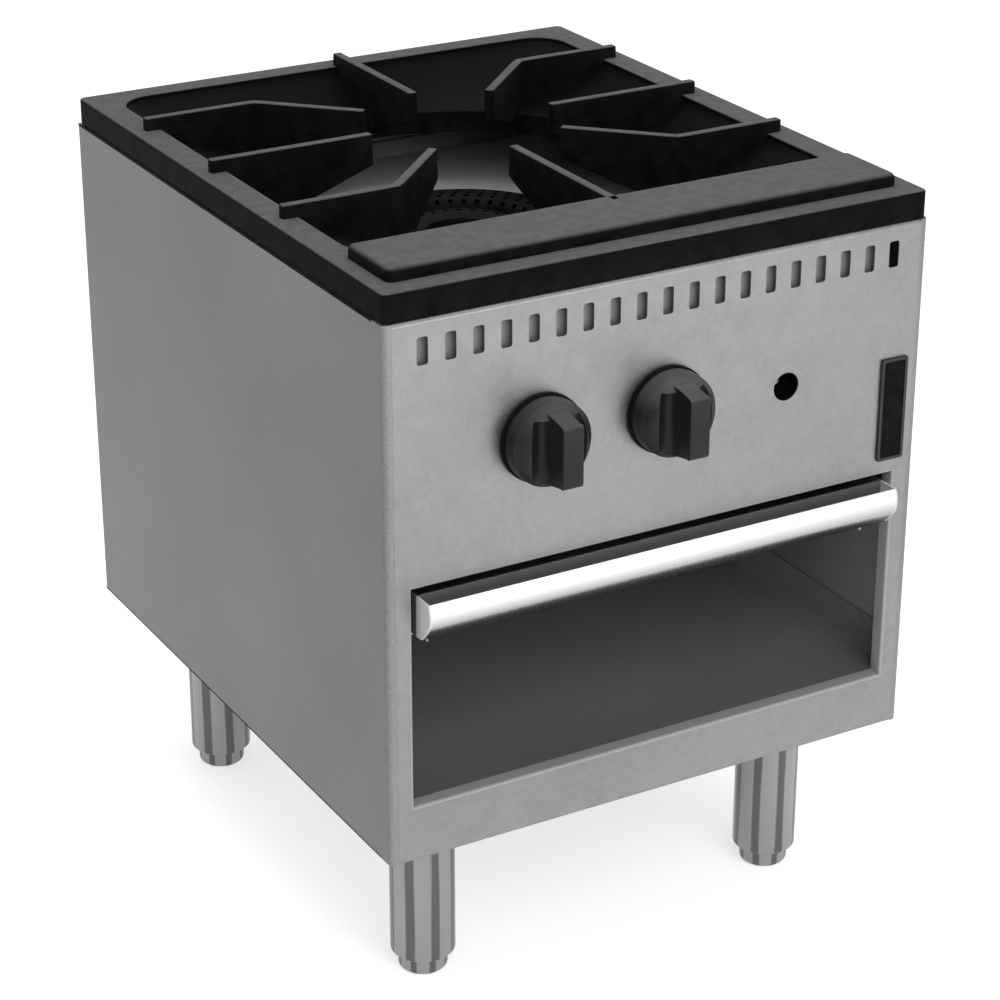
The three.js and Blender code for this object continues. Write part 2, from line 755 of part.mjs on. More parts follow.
const manifoldAxis = [manifoldY, manifoldZ];
const manifoldBed = () => widthBar(manifoldAxis, -halfWidth, halfWidth, manifoldRadius + seatGap, pipeSides);

/** Gas valve: round body with a square collar, saddled on the manifold by its inlet leg. */
function gasValve(x) {
  const axis = [x, controlZ];
  const collar = valveRadius + valveCollar;
  const front = valveNose + valveNoseLength;
  const body = join(
    depthBar(axis, front, valveTail, valveRadius, pipeSides),
    depthBar(axis, valveNose, front + sheet, valveNoseRadius, pipeSides),
    block(
      [x - collar, x + collar], [front, front + valveCollarThick], [controlZ - collar, controlZ + collar],
    ),
    uprightBar([x, manifoldY], manifoldZ, controlZ, valveLegRadius),
  );
  const socket = depthBar(axis, valveNose - sheet, stemInnerEnd + seatGap, stemRadius + runningGap);
  return cut(body, manifoldBed(), socket);
}

const stemInnerEnd = valveNose + stemInValve;
const stemOuterEnd = knobBack - stemInKnob;

/** Stem from inside the valve to inside the knob. */
const valveStem = (x) => depthBar([x, controlZ], stemOuterEnd, stemInnerEnd, stemRadius);

/** Cutter for the finger scoop on one side of a knob's grip. */
function fingerScoop(x, side) {
  const front = knobBack - knobDepth;
  const open = front - sheet;
  const floor = scoopSection.map(([beyond, behind]) => [x + side * (gripWidth / 2 + beyond), front + behind]);
  const section = [[floor[0][0], open], ...floor, [floor.at(-1)[0], open]];
  const facing = side < 0 ? section : section.reverse();
  return alongZ(polygon(facing), controlZ - scoopHalf, controlZ + scoopHalf);
}

/** Knob: domed skirt, scooped on both sides of an upright grip. */
function knob(x) {
  const shoulder = (knobRadius + domeRadius) / 2;
  const rise = domeDepth - knobSkirt;
  const dome = [
    [0, 0], [knobRadius, 0], [knobRadius, knobSkirt], [shoulder + sheet, knobSkirt + rise * 0.1],
    [shoulder, knobSkirt + rise * 0.5], [domeRadius, knobSkirt + rise * 0.7],
    [domeRadius * 0.8, knobSkirt + rise * 0.9], [0, domeDepth],
  ];
  const points = dome.map(([radius, height]) => new THREE.Vector2(radius, height));
  const lathe = new THREE.LatheGeometry(points, 32);
  lathe.rotateX(Math.PI);
  lathe.translate(x, knobBack, controlZ);
  const front = knobBack - knobDepth;
  const back = knobBack - knobSkirt / 2;
  const nose = gripFrontHalf - gripNose;
  const grip = polygon([
    [back, controlZ - gripBackHalf], [back, controlZ + gripBackHalf],
    [front + gripNose, controlZ + gripFrontHalf], [front, controlZ + nose],
    [front, controlZ - nose], [front + gripNose, controlZ - gripFrontHalf],
  ]);
  const bore = depthBar(
    [x, controlZ], stemOuterEnd - seatGap, knobBack + sheet, stemRadius + runningGap / 2,
  );
  const whole = join(toSolid(lathe), alongX(grip, x - gripWidth / 2, x + gripWidth / 2));
  return cut(whole, bore, fingerScoop(x, -1), fingerScoop(x, 1));
}

/** Manifold: straight pipe under the valves, screwed into the elbow. */
function manifoldPipe() {
  const left = -controlPitch - manifoldEndRun;
  const right = supplyX - elbowLength + elbowSocket - seatGap;
  return cut(
    widthBar(manifoldAxis, left, right, manifoldRadius, pipeSides),
    widthBar(manifoldAxis, left + burnerWall, right + 1, manifoldBore, pipeSides),
  );
}

/** Elbow from the manifold to the supply pipe. */
function supplyElbow() {
  const mouthX = supplyX - elbowLength;
  const mouthY = manifoldY + elbowLength;
  const ball = new THREE.SphereGeometry(elbowRadius, pipeSides, smallSides);
  ball.translate(supplyX, manifoldY, manifoldZ);
  const outside = join(
    toSolid(ball),
    widthBar(manifoldAxis, mouthX, supplyX, elbowRadius, pipeSides),
    depthBar([supplyX, manifoldZ], manifoldY, mouthY, elbowRadius, pipeSides),
  );
  return cut(
    outside,
    widthBar(manifoldAxis, mouthX - 1, supplyX, manifoldBore, pipeSides),
    widthBar(manifoldAxis, mouthX - 1, mouthX + elbowSocket, manifoldRadius + seatGap, pipeSides),
    depthBar([supplyX, manifoldZ], manifoldY, mouthY + 1, manifoldBore, pipeSides),
    depthBar([supplyX, manifoldZ], mouthY - elbowSocket, mouthY + 1, supplyRadius + seatGap, pipeSides),
  );
}

/** Supply pipe from the elbow out through the rear panel. */
function supplyPipe() {
  const front = manifoldY + elbowLength - elbowSocket + seatGap;
  const rear = halfDepth + supplyReach;
  return cut(
    depthBar([supplyX, manifoldZ], front, rear, supplyRadius, pipeSides),
    depthBar([supplyX, manifoldZ], front - 1, rear + 1, supplyBore, pipeSides),
  );
}

/** Bracket from the front panel to a saddle under the manifold. */
function manifoldBracket(x) {
  const back = frontInside + seatGap;
  const shelf = manifoldZ - manifoldRadius / 2;
  const section = folded(
    [[manifoldY + manifoldRadius, shelf], [back, shelf], [back, shelf - bracketHeight]].reverse(),
    bracketThick,
  );
  const seat = block(
    [x - bracketWidth / 2, x + bracketWidth / 2],
    [manifoldY - manifoldRadius, manifoldY + manifoldRadius],
    [shelf - bracketThick - manifoldRadius, shelf],
  );
  return cut(join(alongX(section, x - bracketWidth / 2, x + bracketWidth / 2), seat), manifoldBed());
}

const pilotNeckFront = manifoldY - pilotBodyRadius - pilotScrewSocket;

/** Pilot valve: small upright body on the manifold with a neck behind the pilot hole. */
function pilotValve() {
  const body = join(
    uprightBar([pilotSide, manifoldY], manifoldZ, pilotAxis[1] + pilotBodyRadius, pilotBodyRadius),
    depthBar(pilotAxis, pilotNeckFront, manifoldY, pilotNeckRadius),
    depthBar(pilotAxis, manifoldY, manifoldY + pilotBodyRadius + pilotNut, pilotNeckRadius, 6),
  );
  const socketEnd = pilotNeckFront + pilotScrewSocket;
  const socket = depthBar(pilotAxis, pilotNeckFront - sheet, socketEnd, pilotScrewRadius + runningGap);
  return cut(body, manifoldBed(), socket);
}

/** Slotted pilot adjusting screw. */
function pilotScrew() {
  const back = pilotNeckFront + pilotScrewSocket - seatGap;
  const front = back - pilotScrewLength;
  const slot = [pilotAxis[1] - pilotSlot / 2, pilotAxis[1] + pilotSlot / 2];
  const across = [pilotSide - pilotScrewRadius * 2, pilotSide + pilotScrewRadius * 2];
  return cut(
    depthBar(pilotAxis, front, back, pilotScrewRadius),
    block(across, [front - pilotSlot, front + pilotSlot], slot),
  );
}

const pilotTip = [pilotTipSide, burnerBack - pilotTipFront];
const pilotTipBottom = burnerTop - pilotTipHeight + pilotTipRise;

/** Pilot burner: small tip between the two burners, on a bracket from the front support. */
function pilotBurner() {
  const [x, y] = pilotTip;
  const top = pilotTipBottom + pilotTipHeight;
  const front = y + pilotTubeRadius + seatGap;
  const foot = supportTop + seatGap;
  const half = pilotStrapWidth / 2;
  return join(
    cut(
      uprightBar(pilotTip, pilotTipBottom, top, pilotTipRadius),
      uprightBar(pilotTip, pilotTipBottom - sheet, top + sheet, pilotTipBore, 8),
    ),
    block([x - half, x + half], [front, front + sheet], [foot, top - pilotTipHeight / 3]),
    block([x - half, x + half], [y - supportWidth / 2, front + sheet], [foot, foot + sheet]),
  );
}

/** Pilot tube from the pilot valve, under the outer ring, up to the pilot burner. */
function pilotTube() {
  const [tipX, tipY] = pilotTip;
  const [startX, startZ] = pilotAxis;
  const start = manifoldY + pilotBodyRadius + pilotNut + seatGap;
  const low = burnerBottom - pilotTubeRadius - pilotTubeDrop;
  const [farTurn, nearTurn] = pilotTubeTurns;
  const swingY = start + pilotTubeSwing;
  const farX = tipX + farTurn[0];
  const points = [
    [startX, start, startZ], [startX, start + pilotTubeLead, startZ],
    [(startX * 3 + farX) / 4, swingY, (startZ + low) / 2],
    [(startX + farX) / 2, (swingY + tipY - farTurn[1]) / 2, low], [farX, tipY - farTurn[1], low],
    [tipX + nearTurn[0], tipY - nearTurn[1], low + sheet], [tipX, tipY, low + pilotTubeDrop],
    [tipX, tipY, pilotTipBottom - seatGap],
  ].map((point) => new THREE.Vector3(...point));
  const path = new THREE.CatmullRomCurve3(points, false, 'centripetal');
  const section = new THREE.Shape().absarc(0, 0, pilotTubeRadius, 0, 2 * Math.PI);
  const settings = { steps: 24, curveSegments: 4, bevelEnabled: false, extrudePath: path };
  return toSolid(new THREE.ExtrudeGeometry(section, settings));
}

// ---- Top grate -----------------------------------------------------------------------------

const grateX = halfWidth - grateInset;
const grateY = halfDepth - grateInset;
const grateInnerX = grateX - rimWidth;
const ledgeFront = -grateY + ledgeFrontBand;
const ledgeBack = ledgeFront + ledgeDepth;
const bowlDeep = [ledgeBack - 2, grateY - rimWidth + 3];
const grateBottom = bodyTop + seatGap;

/** Outline of the rim's opening, widened by a margin, as points at even turns about the burner. */
function openingOutline(margin, z) {
  const low = bowlDeep[0] - margin;
  const high = bowlDeep[1] + margin;
  const middle = (low + high) / 2;
  const halfX = grateInnerX + margin;
  const halfY = (high - low) / 2;
  const radius = openingCorner + margin;
  return Array.from({ length: bowlSides }, (_, i) => {
    const angle = (i / bowlSides) * 2 * Math.PI;
    const direction = new THREE.Vector2(Math.cos(angle), Math.sin(angle));
    return boundaryPoint(direction, halfX, halfY, radius, middle, z);
  });
}

/** Where a ray from the burners' centre meets a rectangle with round corners. */
function boundaryPoint(direction, halfX, halfY, radius, middle, z) {
  const start = new THREE.Vector2(0, burnerBack - middle);
  const outside = (distance) => {
    const x = Math.abs(start.x + direction.x * distance) - (halfX - radius);
    const y = Math.abs(start.y + direction.y * distance) - (halfY - radius);
    return Math.hypot(Math.max(x, 0), Math.max(y, 0)) + Math.min(Math.max(x, y), 0) > radius;
  };
  let [near, far] = [0, 2 * (halfX + halfY)];
  for (let step = 0; step < 40; step += 1) {
    const half = (near + far) / 2;
    if (outside(half)) far = half;
    else near = half;
  }
  return [start.x + direction.x * near, start.y + middle + direction.y * near, z];
}

/** Circle about the burners' centre, as points at even turns. */
function bowlCircle(radius, z) {
  return Array.from({ length: bowlSides }, (_, i) => {
    const angle = (i / bowlSides) * 2 * Math.PI;
    return [radius * Math.cos(angle), burnerBack + radius * Math.sin(angle), z];
  });
}

/** Points part of the way from one loop to another, at a height of their own. */
function between(from, to, share, z) {
  return from.map(([x, y], i) => [x + (to[i][0] - x) * share, y + (to[i][1] - y) * share, z]);
}

/** Ring-shaped solid whose skin runs through closed loops of points and back to the first. */
function loopSkin(loops) {
  const count = loops[0].length;
  const index = [];
  loops.forEach((_, row) => {
    const next = (row + 1) % loops.length;
    for (let i = 0; i < count; i += 1) {
      const j = (i + 1) % count;
      const [a, b] = [row * count + i, row * count + j];
      const [c, d] = [next * count + i, next * count + j];
      index.push(a, b, d, a, d, c);
    }
  });
  const geometry = new THREE.BufferGeometry();
  const positions = new Float32Array(loops.flat(2));
  geometry.setAttribute('position', new THREE.BufferAttribute(positions, 3));
  geometry.setIndex(index);
  return toSolid(geometry);
}

/** Bowl: falls from the rim's opening to a round hole with a short collar. */
function grateBowl() {
  const holeZ = rimTop - bowlDrop;
  const rimEdge = openingOutline(3, rimTop - 3);
  const underEdge = openingOutline(6, rimTop - rimThick + 1);
  const hole = bowlCircle(bowlHole, holeZ);
  const underHole = bowlCircle(bowlHole + bowlWall, holeZ - bowlWall / 2);
  return loopSkin([
    rimEdge,
    between(rimEdge, hole, 0.3, rimTop - bowlDrop * 0.52),
    between(rimEdge, hole, 0.68, rimTop - bowlDrop * 0.86),
    hole,
    bowlCircle(bowlHole, holeZ - bowlCollar),
    bowlCircle(bowlHole + bowlWall * 0.7, holeZ - bowlCollar),
    underHole,
    between(underEdge, underHole, 0.66, rimTop - bowlDrop * 0.86 - bowlWall),
    between(underEdge, underHole, 0.3, rimTop - bowlDrop * 0.52 - bowlWall),
    underEdge,
  ]);
}

/** Lower edge of a finger at a distance from the burners' centre. */
function webBottom(distance) {
  const deepest = bowlHole;
  const slope = (reach) => fingerTop - fingerTipDepth - fingerSlope * (reach - fingerTipRadius);
  return slope(Math.min(distance, deepest));
}

/** Straight finger along one direction, from its tip out to the rim. */
function straightFinger(turns, outerEnd, endDepth = fingerEndDepth) {
  const web = polygon([
    [fingerTipRadius, fingerTop], [fingerTipRadius, webBottom(fingerTipRadius)],
    [bowlHole, webBottom(bowlHole)], [outerEnd, fingerTop - endDepth], [outerEnd, fingerTop],
  ]);
  return placedWeb(web, turns);
}

/** Web drawn as (distance, height), stood on the burners' centre and turned by quarter turns. */
function placedWeb(shape, turns, thickness = fingerThick) {
  const settings = { depth: thickness, bevelEnabled: false };
  const geometry = new THREE.ExtrudeGeometry(shape, settings);
  geometry.translate(0, 0, -thickness / 2);
  geometry.rotateX(Math.PI / 2);
  geometry.rotateZ((turns * Math.PI) / 2);
  geometry.translate(0, burnerBack, 0);
  return toSolid(geometry);
}

/** Bent finger: diagonal from its tip to the turn, then sideways to the rim. */
function bentFinger(sideX, sideY) {
  const diagonal = bentFingerSpread * Math.SQRT2;
  const turnBottom = webBottom(diagonal);
  const web = polygon([
    [fingerTipRadius, fingerTop], [fingerTipRadius, webBottom(fingerTipRadius)],
    [bowlHole, webBottom(bowlHole)], [diagonal, turnBottom], [diagonal, fingerTop],
  ]);
  const turns = { '1,1': 0.5, '-1,1': 1.5, '-1,-1': 2.5, '1,-1': 3.5 }[`${sideX},${sideY}`];
  const y = burnerBack + sideY * bentFingerSpread;
  const end = sideX * (grateInnerX + fingerLap);
  const start = sideX * bentFingerSpread;
  const arm = polygon([
    [start, turnBottom], [start, fingerTop], [end, fingerTop], [end, fingerTop - fingerEndDepth],
  ]);
  return join(
    placedWeb(web, turns),
    alongY(arm, y - fingerThick / 2, y + fingerThick / 2),
    uprightBar([start, y], turnBottom, fingerTop, fingerThick / 2),
  );
}

/** Raised ledge across the front, flush with the finger tops. */
function grateLedge() {
  const x = grateX - ledgeSideInset;
  const step = (inset) => roundedRectangle(
    [-x + inset, x - inset], [ledgeFront + inset, ledgeBack - inset], ledgeCorner - inset,
  );
  const top = fingerTop;
  return join(
    alongZ(step(0), rimTop - 2, top - ledgeBevel),
    alongZ(step(ledgeBevel * 0.3), top - ledgeBevel, top - ledgeBevel * 0.3),
    alongZ(step(ledgeBevel), top - ledgeBevel * 0.3, top),
  );
}

/** The whole top casting: lip, rim, ledge, bowl and eight fingers. */
function topGrate() {
  const outline = roundedRectangle([-grateX, grateX], [-grateY, grateY], grateCorner);
  const lipInside = [grateX - lipWall, grateY - lipWall];
  const rimHole = roundedRectangle([-grateInnerX, grateInnerX], bowlDeep, openingCorner);
  const shell = cut(
    alongZ(outline, grateBottom, rimTop),
    block([-lipInside[0], lipInside[0]], [-lipInside[1], lipInside[1]], [0, rimTop - rimThick]),
    alongZ(rimHole, grateBottom, rimTop + 1, 8),
  );
  const sideEnd = grateInnerX + fingerLap;
  const fingers = [
    straightFinger(0, sideEnd),
    straightFinger(1, bowlDeep[1] - burnerBack + fingerLap / 2),
    straightFinger(2, sideEnd),
    straightFinger(3, burnerBack - ledgeBack + fingerLap),
    ...[[1, 1], [-1, 1], [-1, -1], [1, -1]].map(([sideX, sideY]) => bentFinger(sideX, sideY)),
  ];
  return join(shell, grateBowl(), grateLedge(), ...fingers);
}

// ---- Legs ----------------------------------------------------------------------------------

/** Leg tube with its threaded stud, open at the bottom for the foot. */
function legTube() {
  const top = bodyBottom - seatGap;
  const stop = footTop + seatGap;
  return turned([
    [0, top + studLength], [studRadius, top + studLength], [studRadius, top], [legRadius - 1, top],
    [legRadius, top - 1], [legRadius, footShown + 2], [legRadius - 1.5, footShown],
    [footRadius + runningGap, footShown], [footRadius + runningGap, stop], [footShoulder, stop],
    [footShoulder, top - legWall * 2], [0, top - legWall * 2],
  ], [0, 0], 20);
}

/** Levelling foot: plug in the tube with a rounded lower end. */
function levellingFoot() {
  const round = arcPoints([footRadius - footRound, footRound], footRound, -Math.PI / 2, 0, 2);
  return turned([[0, 0], ...round, [footRadius, footTop], [0, footTop]], [0, 0], 20);
}

/** Square plate and boss inside the base channel, which the leg's stud screws into. */
function legSocket() {
  const low = bodyBottom + channelThick + seatGap;
  const half = socketSize / 2;
  return cut(
    join(
      block([-half, half], [-half, half], [low, low + socketThick]),
      uprightBar([0, 0], low, low + socketThick + socketBossHeight, socketBoss, roundSides),
    ),
    uprightBar([0, 0], low - 1, low + socketThick + socketBossHeight + 1, studRadius + runningGap),
  );
}

// ---- Small parts ---------------------------------------------------------------------------

/** Bare badge plate with a raised border. */
function badgePlate() {
  const right = halfWidth - badgeSideMargin;
  const low = bodyTop - badgeBottomDrop;
  const wide = [right - badgeWidth, right];
  const tall = [low, low + badgeHeight];
  const back = frontFace - seatGap;
  const inner = (pair) => [pair[0] + badgeRim, pair[1] - badgeRim];
  return cut(
    block(wide, [back - badgeThick, back], tall),
    block(inner(wide), [back - badgeThick - 1, back - badgeThick * 0.6], inner(tall)),
  );
}

/** Rear screw: domed head on the side panel's flange, shank into the rear panel. */
function rearScrew() {
  const profile = [
    [0, -screwLength], [screwRadius, -screwLength], [screwRadius, seatGap], [screwHeadRadius, seatGap],
    [screwHeadRadius * 0.8, screwHeadThick * 0.8], [0, screwHeadThick],
  ];
  return turned(profile, [0, 0], 12);
}

// ---- Finishes ------------------------------------------------------------------------------

const finish = (color, roughness, metalness) => (
  new THREE.MeshStandardMaterial({ color, roughness, metalness })
);
const stainless = finish(0xb2b2b0, 0.42, 0.9);
const polished = finish(0xe6e6e4, 0.2, 1.0);
const innerSheet = finish(0x5c5b59, 0.6, 0.7);
const castIron = finish(0x242424, 0.75, 0.3);
const burnerIron = finish(0x3a3938, 0.8, 0.3);
const blackPlastic = finish(0x323232, 0.5, 0.0);
const brass = finish(0xb08d4c, 0.35, 0.9);
const steelPipe = finish(0x6e6e6c, 0.5, 0.8);
const nickel = finish(0xa9aaa8, 0.25, 1.0);
const badgeBlack = finish(0x1d1d1d, 0.4, 0.1);
const zinc = finish(0x9c9c98, 0.45, 0.8);

// ---- Assembly ------------------------------------------------------------------------------

const range = new THREE.Group();

/** Adds a finished solid to the range under its name, at a place. */
function addPiece(name, solid, material, place = [0, 0, 0]) {
  const mesh = new THREE.Mesh(toGeometry(solid), material);
  mesh.name = name;
  mesh.position.set(...place);
  range.add(mesh);
  return mesh;
}

/** Adds a left piece and the same piece mirrored to the right. */
function addPair(name, solid, material) {
  addPiece(`${name}_left`, solid, material);
  addPiece(`${name}_right`, mirrored(solid), material);
}

addPair('side_panel', sidePanelLeft(), stainless);
addPiece('front_panel', frontPanel(), stainless);
addPiece('rear_panel', rearPanel(), stainless);
addPiece('bottom_shelf', bottomShelf(), innerSheet);
addPair('base_channel', baseChannelLeft(), innerSheet);
addPair('tray_runner', trayRunnerLeft(), innerSheet);
addPiece('drip_tray', dripTray(), polished);
addPiece('burner_deck', burnerDeck(), innerSheet);
addPair('deck_rail', deckRailLeft(), innerSheet);
addPiece('burner_support_front', burnerSupport(burnerBack - postSpread), steelPipe);
addPiece('burner_support_rear', burnerSupport(burnerBack + postSpread), steelPipe);
addPiece('outer_burner_ring', outerBurnerRing(), burnerIron);
addPiece('inner_burner_head', innerBurnerHead(), burnerIron);

const valvePlaces = [['left', 'outer', -controlPitch], ['right', 'inner', 0]];
valvePlaces.forEach(([side, burner, x]) => {
  addPiece(`${burner}_mixing_tube`, mixingTube(x), burnerIron);
  addPiece(`air_shutter_${side}`, airShutter(x), zinc);
  addPiece(`orifice_hood_${side}`, orificeHood(x), brass);
  addPiece(`gas_valve_${side}`, gasValve(x), brass);
  addPiece(`valve_stem_${side}`, valveStem(x), brass);
  addPiece(`knob_${side}`, knob(x), blackPlastic);
});

addPiece('manifold_pipe', manifoldPipe(), steelPipe);
addPiece('supply_elbow', supplyElbow(), steelPipe);
addPiece('supply_pipe', supplyPipe(), steelPipe);
addPiece('manifold_bracket_left', manifoldBracket(-controlPitch / 2), zinc);
addPiece('manifold_bracket_right', manifoldBracket(controlPitch / 2), zinc);
addPiece('pilot_valve', pilotValve(), brass);
addPiece('pilot_screw', pilotScrew(), brass);
addPiece('pilot_burner', pilotBurner(), zinc);
addPiece('pilot_tube', pilotTube(), zinc);
addPiece('top_grate', topGrate(), castIron);
addPiece('badge_plate', badgePlate(), badgeBlack);

const legPlaces = [['front', -legY], ['rear', legY]].flatMap(([end, y]) => (
  [['left', -legX], ['right', legX]].map(([side, x]) => [`${end}_${side}`, [x, y, 0]])
));
legPlaces.forEach(([corner, place]) => {
  addPiece(`leg_${corner}`, legTube(), nickel, place);
  addPiece(`foot_${corner}`, levellingFoot(), nickel, place);
  addPiece(`leg_socket_${corner}`, legSocket(), zinc, place);
});

['left', 'right'].forEach((side, i) => {
  const x = (i === 0 ? -1 : 1) * (halfWidth - screwInset);
  screwHeights().forEach((z, row) => {
    const screw = addPiece(`rear_screw_${side}_${row + 1}`, rearScrew(), zinc, [x, halfDepth, z]);
    screw.rotation.x = -Math.PI / 2;
  });
});

// The cabinet is shifted so that what stands out in front and behind is centred on the origin.
const frontReach = knobStandoff + knobDepth;
range.position.y = (frontReach - supplyReach) / 2;

export default range;
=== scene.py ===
"""Stock pot range: the dressed model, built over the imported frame. Metres, +Z up, front on -Y."""

import logging
import math
from collections.abc import Iterable, Sequence
from dataclasses import dataclass, field
from enum import Enum

import bmesh
import bpy
from mathutils import Matrix, Vector


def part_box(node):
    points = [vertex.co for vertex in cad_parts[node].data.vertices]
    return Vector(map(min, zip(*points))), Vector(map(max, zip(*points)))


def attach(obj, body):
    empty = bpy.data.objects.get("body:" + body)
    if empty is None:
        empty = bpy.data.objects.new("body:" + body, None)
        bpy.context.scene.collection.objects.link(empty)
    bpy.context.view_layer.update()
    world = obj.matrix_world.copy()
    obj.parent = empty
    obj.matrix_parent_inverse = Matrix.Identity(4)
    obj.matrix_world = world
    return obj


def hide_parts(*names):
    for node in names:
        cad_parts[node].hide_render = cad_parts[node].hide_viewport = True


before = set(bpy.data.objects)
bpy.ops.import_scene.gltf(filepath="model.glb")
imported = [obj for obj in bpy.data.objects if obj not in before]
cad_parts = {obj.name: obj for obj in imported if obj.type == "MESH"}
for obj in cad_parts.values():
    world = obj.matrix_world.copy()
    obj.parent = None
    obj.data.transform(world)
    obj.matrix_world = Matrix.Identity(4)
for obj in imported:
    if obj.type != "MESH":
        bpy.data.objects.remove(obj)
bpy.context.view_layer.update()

log = logging.getLogger("range")
MM = 0.001
TINY = 1e-6
SHEET = 1.5 * MM
SEAT_GAP = 0.3 * MM
FINE_EDGE = 0.25 * MM
SOFT_EDGE = 0.3 * MM
FINE_ROUND = 96
SMOOTH = 32.0
NODE_SMOOTH = 35.0
ROUNDED_FROM = 40.0
WELD_REACH = 0.02 * MM
Point2 = tuple[float, float]
Point3 = tuple[float, float, float]
Colour = tuple[float, float, float]


# ---- Outlines ------------------------------------------------------------------------------


def arc(centre: Point2, radius: float, start: float, end: float, steps: int = 8) -> list[Point2]:
    """Points of an arc, ends included.

    Args:
        centre: Middle of the arc.
        radius: Its radius.
        start: First angle, in degrees.
        end: Last angle, in degrees.
        steps: Number of chords.

    Returns:
        The points in order.
    """
    angles = [math.radians(start + (end - start) * i / steps) for i in range(steps + 1)]
    return [(centre[0] + radius * math.cos(a), centre[1] + radius * math.sin(a)) for a in angles]


def quarter(radius: float, steps: int = 5) -> list[Point2]:
    """Quarter turn between two faces, as distances back from the first and the second.

    Args:
        radius: The turn's radius.
        steps: Number of chords.

    Returns:
        Pairs that run from (0, radius) to (radius, 0).
    """
    return [(radius - a, radius - b) for a, b in arc((0, 0), radius, 0, 90, steps)]


def circle(centre: Point2, radius: float, steps: int = 48) -> list[Point2]:
    """Points of a full circle, without repeating the first."""
    return arc(centre, radius, 0, 360, steps)[:-1]


def rounded_box(
    wide: Point2, tall: Point2, radius: float, steps: int = 6, runs: int = 1
) -> list[Point2]:
    """Outline of a rectangle with round corners.

    Args:
        wide: Least and greatest first coordinate.
        tall: Least and greatest second coordinate.
        radius: Corner radius.
        steps: Chords in each corner.
        runs: Pieces that each straight side is divided into.

    Returns:
        The points, counter-clockwise.
    """
    (x0, x1), (y0, y1) = wide, tall
    corners = [
        arc((x1 - radius, y0 + radius), radius, -90, 0, steps),
        arc((x1 - radius, y1 - radius), radius, 0, 90, steps),
        arc((x0 + radius, y1 - radius), radius, 90, 180, steps),
        arc((x0 + radius, y0 + radius), radius, 180, 270, steps),
    ]
    outline: list[Point2] = []
    for i, corner in enumerate(corners):
        outline += corner
        (ax, ay), (bx, by) = corner[-1], corners[(i + 1) % 4][0]
        outline += [
            (ax + (bx - ax) * k / runs, ay + (by - ay) * k / runs) for k in range(1, runs)
        ]
    return outline


def box_outline(wide: Point2, tall: Point2) -> list[Point2]:
    """Outline of a plain rectangle."""
    return [(wide[0], tall[0]), (wide[1], tall[0]), (wide[1], tall[1]), (wide[0], tall[1])]


def mitre(before: Vector, after: Vector) -> Vector:
    """Way from a corner to where its two sides meet when each moves 1 to the right.

    Args:
        before: Run that ends at the corner.
        after: Run that starts there.

    Returns:
        The way, as a vector.
    """
    first, second = (Vector((run.y, -run.x)).normalized() for run in (before, after))
    return (first + second) / (1 + first.dot(second))


def folded(face: Sequence[Point2], thickness: float) -> list[Point2]:
    """Section of a folded sheet.

    Args:
        face: Points of one face.
        thickness: Sheet thickness, to the right of the face's run.

    Returns:
        The closed outline.
    """
    points = [Vector(p) for p in face]
    back: list[Vector] = []
    for i, point in enumerate(points):
        first, last = max(i, 1), min(i + 1, len(points) - 1)
        before, after = points[first] - points[first - 1], points[last] - points[last - 1]
        back.append(point + mitre(before, after) * thickness)
    return [tuple(p) for p in points + back[::-1]]


def widened(outline: Sequence[Point2], margin: float) -> list[Point2]:
    """Counter-clockwise outline with each side moved outwards.

    Args:
        outline: The closed outline.
        margin: How far, or less than 0 for inwards.

    Returns:
        The new outline, point for point.
    """
    points = [Vector(p) for p in outline]
    moved = []
    for i, point in enumerate(points):
        after = points[(i + 1) % len(points)]
        moved.append(tuple(point + mitre(point - points[i - 1], after - point) * margin))
    return moved


# ---- Meshes --------------------------------------------------------------------------------


class Axis(Enum):
    """Direction that an outline is carried along, with where its coordinates go."""

    X = (1, 2, 0)
    Y = (0, 2, 1)
    Z = (0, 1, 2)

    def place(self, point: Point2, depth: float) -> Vector:
        """A point of the outline at a depth along this axis.

        Args:
            point: The point's two coordinates.
            depth: Its place along the axis.

        Returns:
            The point in space.
        """
        first, second, along = self.value
        out = [0.0, 0.0, 0.0]
        out[first], out[second], out[along] = point[0], point[1], depth
        return Vector(out)


def shaded(mesh: bpy.types.Mesh, smooth: float) -> bpy.types.Mesh:
    """Shades a mesh smooth but for its sharp edges.

    Args:
        mesh: The mesh.
        smooth: Greatest angle between faces shaded as one, in degrees.

    Returns:
        The same mesh.
    """
    for polygon in mesh.polygons:
        polygon.use_smooth = True
    mesh.set_sharp_from_angle(angle=math.radians(smooth))
    return mesh


